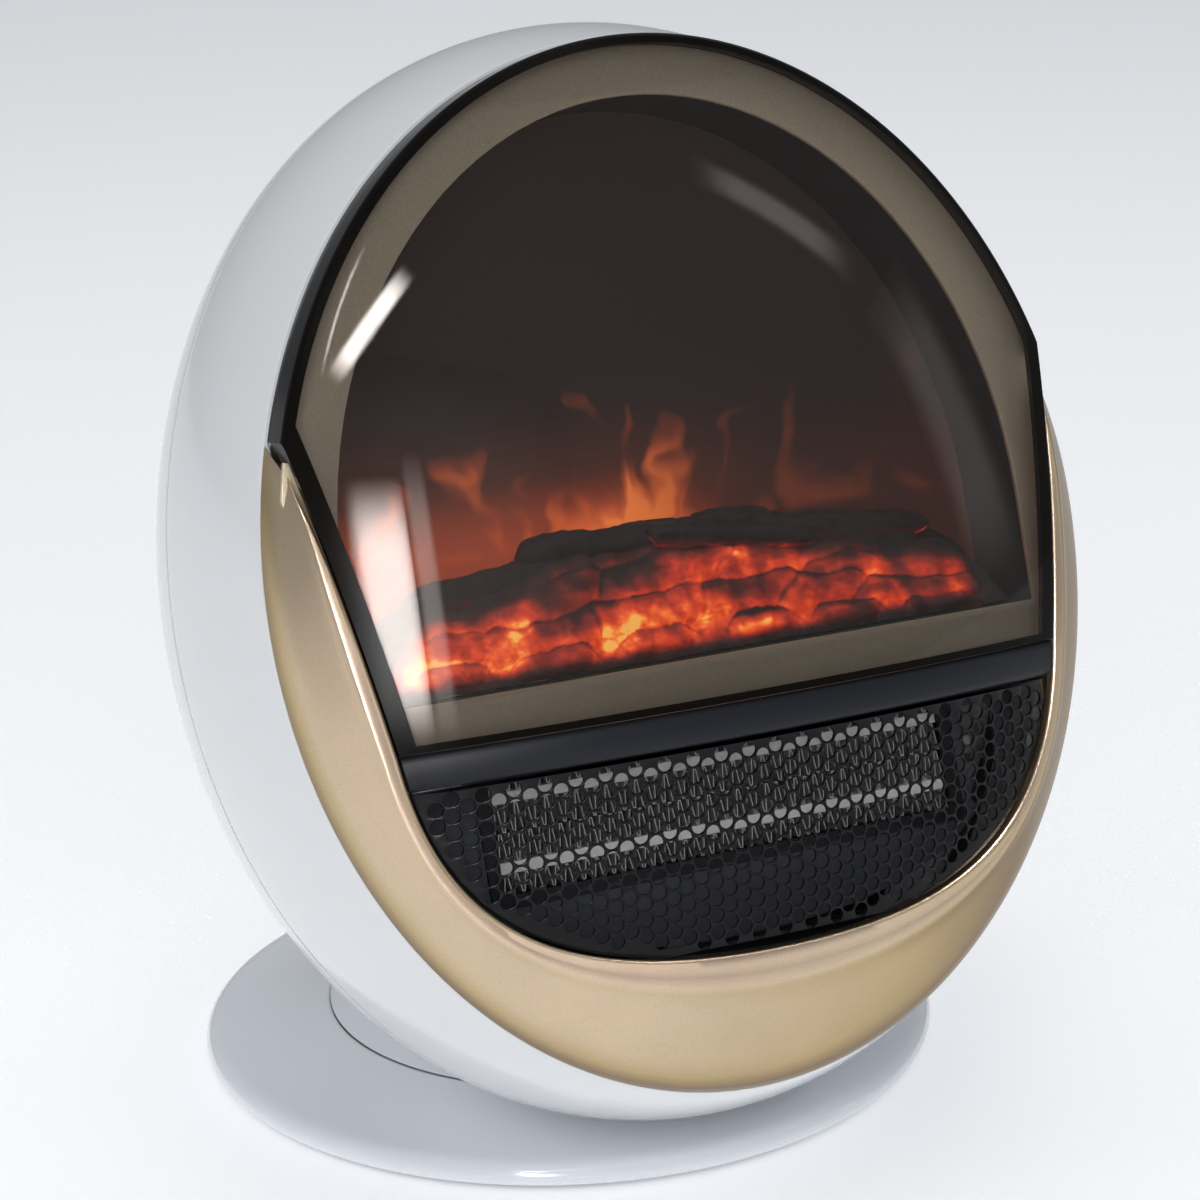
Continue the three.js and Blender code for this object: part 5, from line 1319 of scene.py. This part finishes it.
class HEATER_OT_element(bpy.types.Operator):
    """Make the folded fins and dress the heater element and the fan"""

    bl_idname = "heater.element"
    bl_label = "Heater element"

    def execute(self, context):
        for word, tall, middle in FIN_ROWS:
            self.fins(word, tall, middle, context.scene.heater_sizes.fin_folds)
        self.duct()
        finish_nodes(
            element_frame="dark", heater_bar_upper="ceramic", heater_bar_lower="ceramic",
            thermal_cutout="steel", fan_housing="dark", fan_rotor="rotor", rotor_bush="rubber",
            fan_motor="steel",
        )
        return {"FINISHED"}

    def duct(self):
        """The plain plate round the element that shows through the grille."""
        top = BAR_LOW - DUCT_UNDER_BAR
        line = [p for p in throat_line(0.0018, 20, 40) if p[1] < top]
        notch = [(DUCT_HALF, top), (DUCT_HALF, DUCT_LOW), (-DUCT_HALF, DUCT_LOW), (-DUCT_HALF, top)]
        outline = [(line[0][0], top)] + line + [(line[-1][0], top)] + notch
        vent = rounded_rectangle(0.0110, 0.0300, 0.002, 0.0845, -0.0710, 3)
        bm = standing_plate(outline, [vent], -0.0632, -0.0622, 0.0002)
        add(bm, "outlet_duct", "head", "dark_plastic", "duct", place=HEAD)

    def fins(self, word, tall, middle, folds):
        """One row: a thin foil folded up and down."""
        half = tall / 2 - 0.0001
        step = FIN_WIDE / folds * 0.22
        points = []
        for i in range(2 * folds + 1):
            x = -FIN_WIDE + FIN_WIDE * i / folds
            end = half if i % 2 else -half
            points += [(max(-FIN_WIDE, min(FIN_WIDE, x + side)), end) for side in (-step, step)]
        bm = bmesh.new()
        front, back = ([bm.verts.new((x, y, z)) for x, z in points] for y in (0.0, FIN_DEEP))
        for a, b, c, d in zip(front, front[1:], back, back[1:]):
            if (a.co - b.co).length > MERGE:
                bm.faces.new((a, b, d, c))
        bmesh.ops.remove_doubles(bm, verts=bm.verts, dist=MERGE)
        bmesh.ops.recalc_face_normals(bm, faces=bm.faces)
        obj = as_object(bm, f"folded_fins_{word}")
        apply_all(modify(obj, "SOLIDIFY", thickness=FOIL, offset=0))
        place = HEAD @ Matrix.Translation(ELEMENT + Vector((0, 0, middle)))
        dress(obj, "head", "aluminium", "aluminium", [f"fin_row_{word}"], place, angle=40)


# The controls on the back.

ROCKER_HALF = 0.0065
# Half of the rocker's outline in y and z: from its middle to its end.
ROCKER_TOP = ((0.0036, 0.0025), (0.0046, 0.006), (0.0052, 0.0078), (0.0051, 0.0086), (0.0026, 0.00965),
              (0.0003, 0.00998))
KNOB_PROFILE = ((0.0, 0.0003), (0.0124, 0.0003), (0.0130, 0.0009), (0.0128, 0.0066), (0.0118, 0.0078),
                (0.0, 0.0082))
DIAL_RADIUS = 0.0152


class HEATER_OT_controls(bpy.types.Operator):
    """Make the recessed control panel with knob and rockers"""

    bl_idname = "heater.controls"
    bl_label = "Controls"

    def execute(self, context):
        self.panel()
        self.dots()
        self.knob()
        self.rocker("heat", 0)
        self.rocker("swing", -12)
        finish_nodes(switch_heat="dark", switch_swing="dark", thermostat="ceramic")
        return {"FINISHED"}

    def panel(self):
        def block(width, height, corner, near, far, x=0.0, steps=10):
            return standing_plate(rounded_rectangle(width, height, corner, x, PANEL_UP, steps), [], near, far)

        obj = as_object(block(0.092, 0.044, 0.008, 0.0725, 0.112), "panel_recess")
        ball = [(0, 0.02), (ball_radius(0.02), 0.02)] + [p for p in rear_arc(48) if p[1] > 0.021]
        ball[-1] = (0, ball[-1][1])
        carve(obj, as_object(spun(ball, narrow=True, steps=120), "ball"), "INTERSECT")
        carve(obj, as_object(block(0.084, 0.036, 0.006, PANEL_FLOOR, 0.13), "room"))
        holes = [standing_plate(circle_points(KNOB_SIDE, PANEL_UP, 0.0033, 24), [], 0.06, 0.12)]
        holes += [block(0.0138, 0.0208, 0.0006, 0.06, 0.12, x, 3) for x in ROCKER_SIDES.values()]
        carve(obj, as_object(joined(*holes), "holes"))
        apply_all(round_edges(obj, 0.0004, 55))
        dress(obj, "head", "dark_plastic", "dark", ["control_panel"], HEAD, angle=30)

    def dots(self):
        """Nine raised dots round the knob, every fourth one larger."""
        marks = []
        for i, turn in enumerate(spread(225, -45, 8)):
            x, z = polar(DIAL_RADIUS, math.radians(turn), KNOB_SIDE, PANEL_UP)
            size = 0.0009 if i % 4 else 0.0013
            points = circle_points(x, z, size / 2 + 0.0001, 14)
            marks.append(standing_plate(points, [], PANEL_FLOOR, PANEL_FLOOR + 0.0002))
        add(joined(*marks), "dial_dots", "head", "shell_white", "shell", place=HEAD)

    def knob(self):
        bm = spun(KNOB_PROFILE, "Z", 96)
        for vert in bm.verts:
            radius = math.hypot(vert.co.x, vert.co.y)
            if radius > 0.0121 and vert.co.z < 0.0072:
                turn = math.atan2(vert.co.y, vert.co.x)
                shrink = 1 - 0.03 * (0.5 + 0.5 * math.cos(turn * 24)) ** 2
                vert.co.x *= shrink
                vert.co.y *= shrink
        grip = flat_plate(rounded_rectangle(0.0232, 0.0056, 0.0027, 0, 0, 8), [], 0.0044, 0.0006)
        shaft = rod(0.003, -0.0035, 0.0005, "Z", 24)
        place = HEAD @ at(KNOB_SIDE, PANEL_FLOOR, PANEL_UP) @ turned("X", -90)
        whole = joined(bm, moved(grip, at(0, 0, 0.0098)), shaft)
        add(whole, "dial_knob", "knob", "shell_white", "shell", ["thermostat_knob"], place, angle=30)
        line = flat_plate(rounded_rectangle(0.0011, 0.0060, 0.0005, 0, 0, 4), [], 0.0002)
        moved(line, at(-0.0080, 0, 0.01205) @ turned("Z", 90))
        add(line, "dial_pointer", "knob", "dark_plastic", "dark", place=place)

    def rocker(self, name, tilt):
        """A rocker with a shallow V and rounded ends, its pivot along x."""
        ends = [(y, -z) for y, z in reversed(ROCKER_TOP)]
        outline = ends + [(0.0031, 0.0), *ROCKER_TOP, (-0.004, 0.00917), (-0.004, -0.00917)]
        bm = across_plate(outline, -ROCKER_HALF, ROCKER_HALF, 0.0004)
        place = HEAD @ at(ROCKER_SIDES[name], PANEL_FLOOR + 0.001, PANEL_UP) @ turned("X", tilt)
        body, replaced = f"{name}_rocker", [f"rocker_{name}"]
        add(bm, f"rocker_cap_{name}", body, "gloss_black", "black", replaced, place, angle=30)


# Neck and base.

GLAND_PROFILE = (
    (0.0037, -0.005), (0.0075, -0.005), (0.0075, 0.0035), (0.0075, 0.0037), (0.0075, 0.0052),
    (0.0082, 0.0058), (0.0064, 0.0064), (0.0058, 0.0085), (0.0052, 0.0090), (0.0037, 0.0090),
)


def neck_radius(z):
    share = (z - TURNTABLE_LOW) / (NECK_TOP - TURNTABLE_LOW)
    return NECK_RADIUS + (TURNTABLE_RADIUS - NECK_RADIUS) * (1 - share) ** 2.2


def gland_place():
    radius = neck_radius(GLAND_UP)
    place = at(radius * math.sin(GLAND_TURN), radius * math.cos(GLAND_TURN), GLAND_UP)
    return place @ Matrix.Rotation(-GLAND_TURN, 4, "Z")


def ball_cutter(grow, height):
    """The whole ball as a closed solid in the world's frame, cut flat below."""
    ahead = MOUTH - 0.05
    profile = [(0, ahead), (MOUTH_RADIUS + grow, ahead)]
    profile += [(r + grow, y) for r, y in shell_arc(MOUTH, WIDEST, 14)]
    profile += rear_arc(18, grow)
    profile[-1] = (0, profile[-1][1])
    bm = cut_floor(spun(profile, narrow=True, steps=96), height)
    face_outwards(bm)
    return as_object(moved(bm, HEAD), "ball")


class HEATER_OT_neck(bpy.types.Operator):
    """Make the turntable with its fairing, and dress the swivel drive"""

    bl_idname = "heater.neck"
    bl_label = "Swivel neck"

    def execute(self, context):
        outer = [(neck_radius(z), z) for z in spread(TURNTABLE_LOW, NECK_TOP, 22)]
        inner = [(radius - 0.0025, z) for radius, z in outer if z > 0.0170]
        outer[:1] = [(0.0792, TURNTABLE_LOW), (0.0795, TURNTABLE_LOW + 0.0003)]
        profile = [(0.006, 0.0054), (0.009, 0.0054), (0.009, TURNTABLE_LOW)] + outer + inner[::-1]
        profile += [(inner[0][0] - 0.0015, 0.0152), (0.006, 0.0152)]
        obj = as_object(spun(profile, "Z", 128, closed=True), "neck_fairing")
        carve(obj, ball_cutter(GAP, 0.01535))
        shaft = moved(rod(0.0034, 0.005, 0.02, "Z", 24), at(0, CRANK_BACK, 0))
        hole = moved(rod(0.0078, -0.014, 0.014, "Y", 40), gland_place())
        carve(obj, as_object(joined(shaft, hole), "holes"))
        dress(obj, "head", "base_white", "base", ["swivel_neck"], angle=30)
        bm = spun(GLAND_PROFILE, "Y", 48, closed=True)
        add(bm, "gland_sleeve", "head", "dark_plastic", "dark", ["cord_gland"], gland_place())
        finish_nodes(oscillation_motor="steel", crank_arm="nylon", clip_ring="steel", glide_ring="nylon")
        return {"FINISHED"}


FOOT_PROFILE = ((0, -0.002), (0.0066, -0.002), (0.0076, -0.0016), (0.0080, -0.0010), (0.0080, -0.0003),
                (0.0025, -0.0003), (0.0025, 0.0017), (0, 0.0017))
TIP_PROFILE = ((0, -0.00195), (0.0018, -0.00195), (0.0027, -0.0015), (0.003, -0.0007), (0.003, 0.0049),
               (0.0045, 0.0049), (0.0045, 0.0059), (0, 0.0059))
DISC_EDGE = ((0.1186, 0.0), (0.1200, 0.0004), (0.1209, 0.0013), (0.1213, 0.0026), (0.1212, 0.0039),
             (0.1207, 0.0050), (0.1199, 0.0059), (0.1188, 0.0065), (0.1174, 0.00685))
DISC_RIM = ((0.0813, 0.0132), (0.0809, 0.01345), (0.0801, 0.01345), (0.0797, 0.0131), (0.0797, DECK_HIGH),
            (0.0094, DECK_HIGH), (0.0094, CREASE_UP), (RIM_RADIUS, CREASE_UP))


class HEATER_OT_base(bpy.types.Operator):
    """Make the glossy disc, its plate, feet and screws"""

    bl_idname = "heater.base"
    bl_label = "Base"

    def execute(self, context):
        self.disc()
        self.plate()
        for i in range(FEET):
            turn = math.pi / 2 + 2 * math.pi * i / FEET
            foot = at(*polar(FOOT_RING, turn), 0)
            bm = spun(FOOT_PROFILE, "Z", 48)
            add(bm, f"rubber_foot_{i + 1}", "base", "rubber", "rubber", [f"foot_{i + 1}"], foot)
            place = at(*polar(SCREW_RING, turn + math.pi / FEET), 0.0004) @ Matrix.Rotation(math.pi, 4, "X")
            add(screw_head(0.0032), f"base_screw_{i + 1}", "base", "steel", "steel", place=place)
        finish_nodes(tip_switch="dark")
        tip = at(0, PLUNGER_FORWARD, 0)
        add(spun(TIP_PROFILE, "Z", 32), "tip_pin", "plunger", "nylon", "nylon", ["tip_plunger"], tip)
        return {"FINISHED"}

    def disc(self):
        flare = []
        for share in spread(0, 1, 24):
            radius = CREASE_RADIUS + (RIM_RADIUS - CREASE_RADIUS) * share
            flare.append((radius, CREASE_UP + 0.0063 * share**2.6))
        under = [(radius, z - 0.0022) for radius, z in flare if radius < 0.1172]
        top = [(radius, z) for radius, z in flare if radius < 0.1162]
        profile = [*DISC_EDGE, *top[:-1], *DISC_RIM, *under[::-1][1:], (0.1172, 0.0)]
        obj = as_object(spun(profile, "Z", 180, closed=True), "disc_cover")
        for slot in ((0.0354, 0.0054, 0.0026, CRANK_BACK), (0.0205, 0.0112, 0.0056, 0.0355)):
            bm = flat_plate(rounded_rectangle(*slot, 0), [], 0.01)
            carve(obj, as_object(moved(bm, at(0, 0, 0.008) @ turned("Z", 90)), "slot"))
        dress(obj, "base", "base_white", "base", ["base_disc"], angle=45)

    def plate(self):
        turns = [math.pi / 2 + 2 * math.pi * i / FEET for i in range(FEET)]
        holes = [circle_points(*polar(FOOT_RING, turn), 0.0028, 20) for turn in turns]
        holes.append(circle_points(0, PLUNGER_FORWARD, 0.0034, 24))
        bm = moved(flat_plate(circle_points(0, 0, PLATE_RADIUS, 180), holes, 0.002, 0.0003), at(0, 0, 0.001))
        add(bm, "bottom_cover", "base", "dark_plastic", "dark", ["base_plate"])


# The camera as fitted to the photograph: place, directions, roll, lens and shift.
CAMERA_PLACE = (-0.3809, -0.9592, 0.4845)
CAMERA_RIGHT = (0.92395, -0.38252, 0.0)
CAMERA_UP = (0.11643, 0.28122, 0.95256)
CAMERA_BACK = (-0.36437, -0.88011, 0.30437)
CAMERA_ROLL = math.radians(-2.166)
CAMERA_LENS = 100.56
CAMERA_SHIFT = (0.00267, -0.01833)
AIM = Vector((0, 0, 0.16))
# Each light: name, place, size, power.
LIGHTS = (
    ("Top softbox", (0.2, 0.1, 2.3), (1.8, 1.8), 16),
    ("Left softbox", (-2.2, 0.2, 1.2), (1.0, 1.6), 7),
    ("Front softbox", (-0.8, -2.0, 1.4), (1.8, 1.2), 15),
)
# Each card: name, both ends, width, brightness. Their places follow from where the lens mirrors them.
CARDS = (
    ("Window card", (-1.22, -1.98, 0.15), (-1.20, -1.65, 1.30), 0.36, 30.0),
    ("Curtain card", (-1.03, -2.06, 0.15), (-1.03, -1.71, 1.45), 0.14, 5.0),
    ("Tube card", (-1.30, -1.42, 1.66), (-0.74, -1.32, 2.10), 0.10, 42.0),
    ("Ceiling card", (1.41, -1.26, 2.70), (2.19, -1.04, 1.71), 0.20, 2.0),
    ("Room card", (-1.35, -2.30, 0.10), (-1.35, -2.30, 2.60), 2.60, 0.24),
    ("Right card", (2.20, -0.90, 0.10), (2.20, -0.90, 1.50), 0.5, 0.8),
    ("Overhead card", (-0.7, -0.25, 2.2), (0.7, -0.25, 2.2), 0.4, 42.0),
)


class HEATER_OT_stage(bpy.types.Operator):
    """Make the floor, the lights and the camera"""

    bl_idname = "heater.stage"
    bl_label = "Stage"

    def execute(self, context):
        self.camera(context.scene)
        self.floor()
        self.lights(context.scene)
        return {"FINISHED"}

    def camera(self, scene):
        c, s = math.cos(CAMERA_ROLL), math.sin(CAMERA_ROLL)
        right, up, back = (Vector(v).normalized() for v in (CAMERA_RIGHT, CAMERA_UP, CAMERA_BACK))
        turn = Matrix((c * right + s * up, c * up - s * right, back)).transposed().to_4x4()
        data = bpy.data.cameras.new("Photo camera")
        camera = bpy.data.objects.new("Photo camera", data)
        scene.collection.objects.link(camera)
        camera.matrix_world = Matrix.Translation(CAMERA_PLACE) @ turn
        data.lens = CAMERA_LENS
        data.sensor_width = 36
        data.sensor_fit = "HORIZONTAL"
        data.shift_x, data.shift_y = CAMERA_SHIFT
        data.clip_start = 0.05
        data.clip_end = 30
        scene.camera = camera

    def floor(self):
        bm = bmesh.new()
        bmesh.ops.create_grid(bm, x_segments=2, y_segments=2, size=6)
        obj = as_object(moved(bm, at(0, 0, -0.0021)), "studio_floor")
        made, tree, shader, place = new_material("Studio floor")
        soft = noise_of(tree, place, 3.0)
        feed(tree, shader, {
            "Base Color": blend_colours(tree, soft, (0.90, 0.90, 0.905, 1), (0.88, 0.88, 0.885, 1)),
            "Roughness": 0.6,
            "Specular IOR Level": 0.2,
            "Emission Color": (0.95, 0.97, 1.0, 1),
            "Emission Strength": 0.34,
        })
        obj.data.materials.append(made)

    def lights(self, scene):
        world = bpy.data.worlds.new("Studio")
        scene.world = world
        world.use_nodes = True
        background = world.node_tree.nodes["Background"]
        feed(world.node_tree, background, {"Color": (0.90, 0.94, 1.0, 1), "Strength": 0.30})
        for name, place, size, power in LIGHTS:
            data = bpy.data.lights.new(name, "AREA")
            data.shape = "RECTANGLE"
            data.size, data.size_y = size
            data.energy = power
            lamp = bpy.data.objects.new(name, data)
            scene.collection.objects.link(lamp)
            lamp.location = place
            lamp.rotation_euler = (AIM - Vector(place)).to_track_quat("-Z", "Y").to_euler()
            lamp.visible_glossy = False
        for name, start, end, width, strength in CARDS:
            self.card(name, Vector(start), Vector(end), width, strength)
        scene.view_settings.view_transform = "Standard"

    def card(self, name, start, end, width, strength):
        """A glowing card with soft edges that shows as a reflection."""
        bm = bmesh.new()
        bmesh.ops.create_grid(bm, x_segments=1, y_segments=1, size=0.5)
        obj = as_object(bm, name)
        made, tree, shader, place = new_material(name)
        axes = axes_of(tree, place)
        masks = [remap(tree, maths(tree, "ABSOLUTE", axes[axis]), 0.20, 0.5, 1.0, 0.0, smooth=True)
                 for axis in ("X", "Y")]
        feed(tree, shader, {
            "Emission Strength": times(tree, times(tree, *masks), strength),
            "Emission Color": (1, 1, 1, 1),
            "Base Color": (0.5, 0.5, 0.5, 1),
        })
        obj.data.materials.append(made)
        along = (end - start).normalized()
        middle = (start + end) / 2
        across = (AIM - middle).cross(along).normalized()
        turn = Matrix((along, across, along.cross(across))).transposed().to_4x4()
        stretch = Matrix.Diagonal(((end - start).length, width, 1, 1))
        obj.matrix_world = Matrix.Translation(middle) @ turn @ stretch
        obj.visible_camera = False
        obj.visible_diffuse = False
        obj.visible_shadow = False


class HEATER_PT_panel(bpy.types.Panel):
    """Lists the heater's sizes, colours and pieces"""

    bl_idname = "HEATER_PT_panel"
    bl_label = "Ball fan heater"
    bl_space_type = "VIEW_3D"
    bl_region_type = "UI"
    bl_category = "Heater"

    def draw(self, context):
        for group in (context.scene.heater_sizes, context.scene.heater_colours):
            for name in group.bl_rna.properties.keys():
                if name not in ("rna_type", "name"):
                    self.layout.prop(group, name)
        for operator in OPERATORS:
            self.layout.operator(operator.bl_idname)


OPERATORS = (
    HEATER_OT_stage,
    HEATER_OT_shells,
    HEATER_OT_shell_screws,
    HEATER_OT_crescent,
    HEATER_OT_window,
    HEATER_OT_divider_bar,
    HEATER_OT_grille,
    HEATER_OT_flame_frame,
    HEATER_OT_flames,
    HEATER_OT_element,
    HEATER_OT_controls,
    HEATER_OT_neck,
    HEATER_OT_base,
)
CLASSES = (HeaterSizes, HeaterColours, *OPERATORS, HEATER_PT_panel)


def register():
    for cls in CLASSES:
        bpy.utils.register_class(cls)
    bpy.types.Scene.heater_sizes = bpy.props.PointerProperty(type=HeaterSizes)
    bpy.types.Scene.heater_colours = bpy.props.PointerProperty(type=HeaterColours)


def unregister():
    del bpy.types.Scene.heater_colours
    del bpy.types.Scene.heater_sizes
    for cls in reversed(CLASSES):
        bpy.utils.unregister_class(cls)


def main():
    register()
    for operator in OPERATORS:
        group, name = operator.bl_idname.split(".")
        getattr(getattr(bpy.ops, group), name)()


if __name__ == "__main__":
    main()
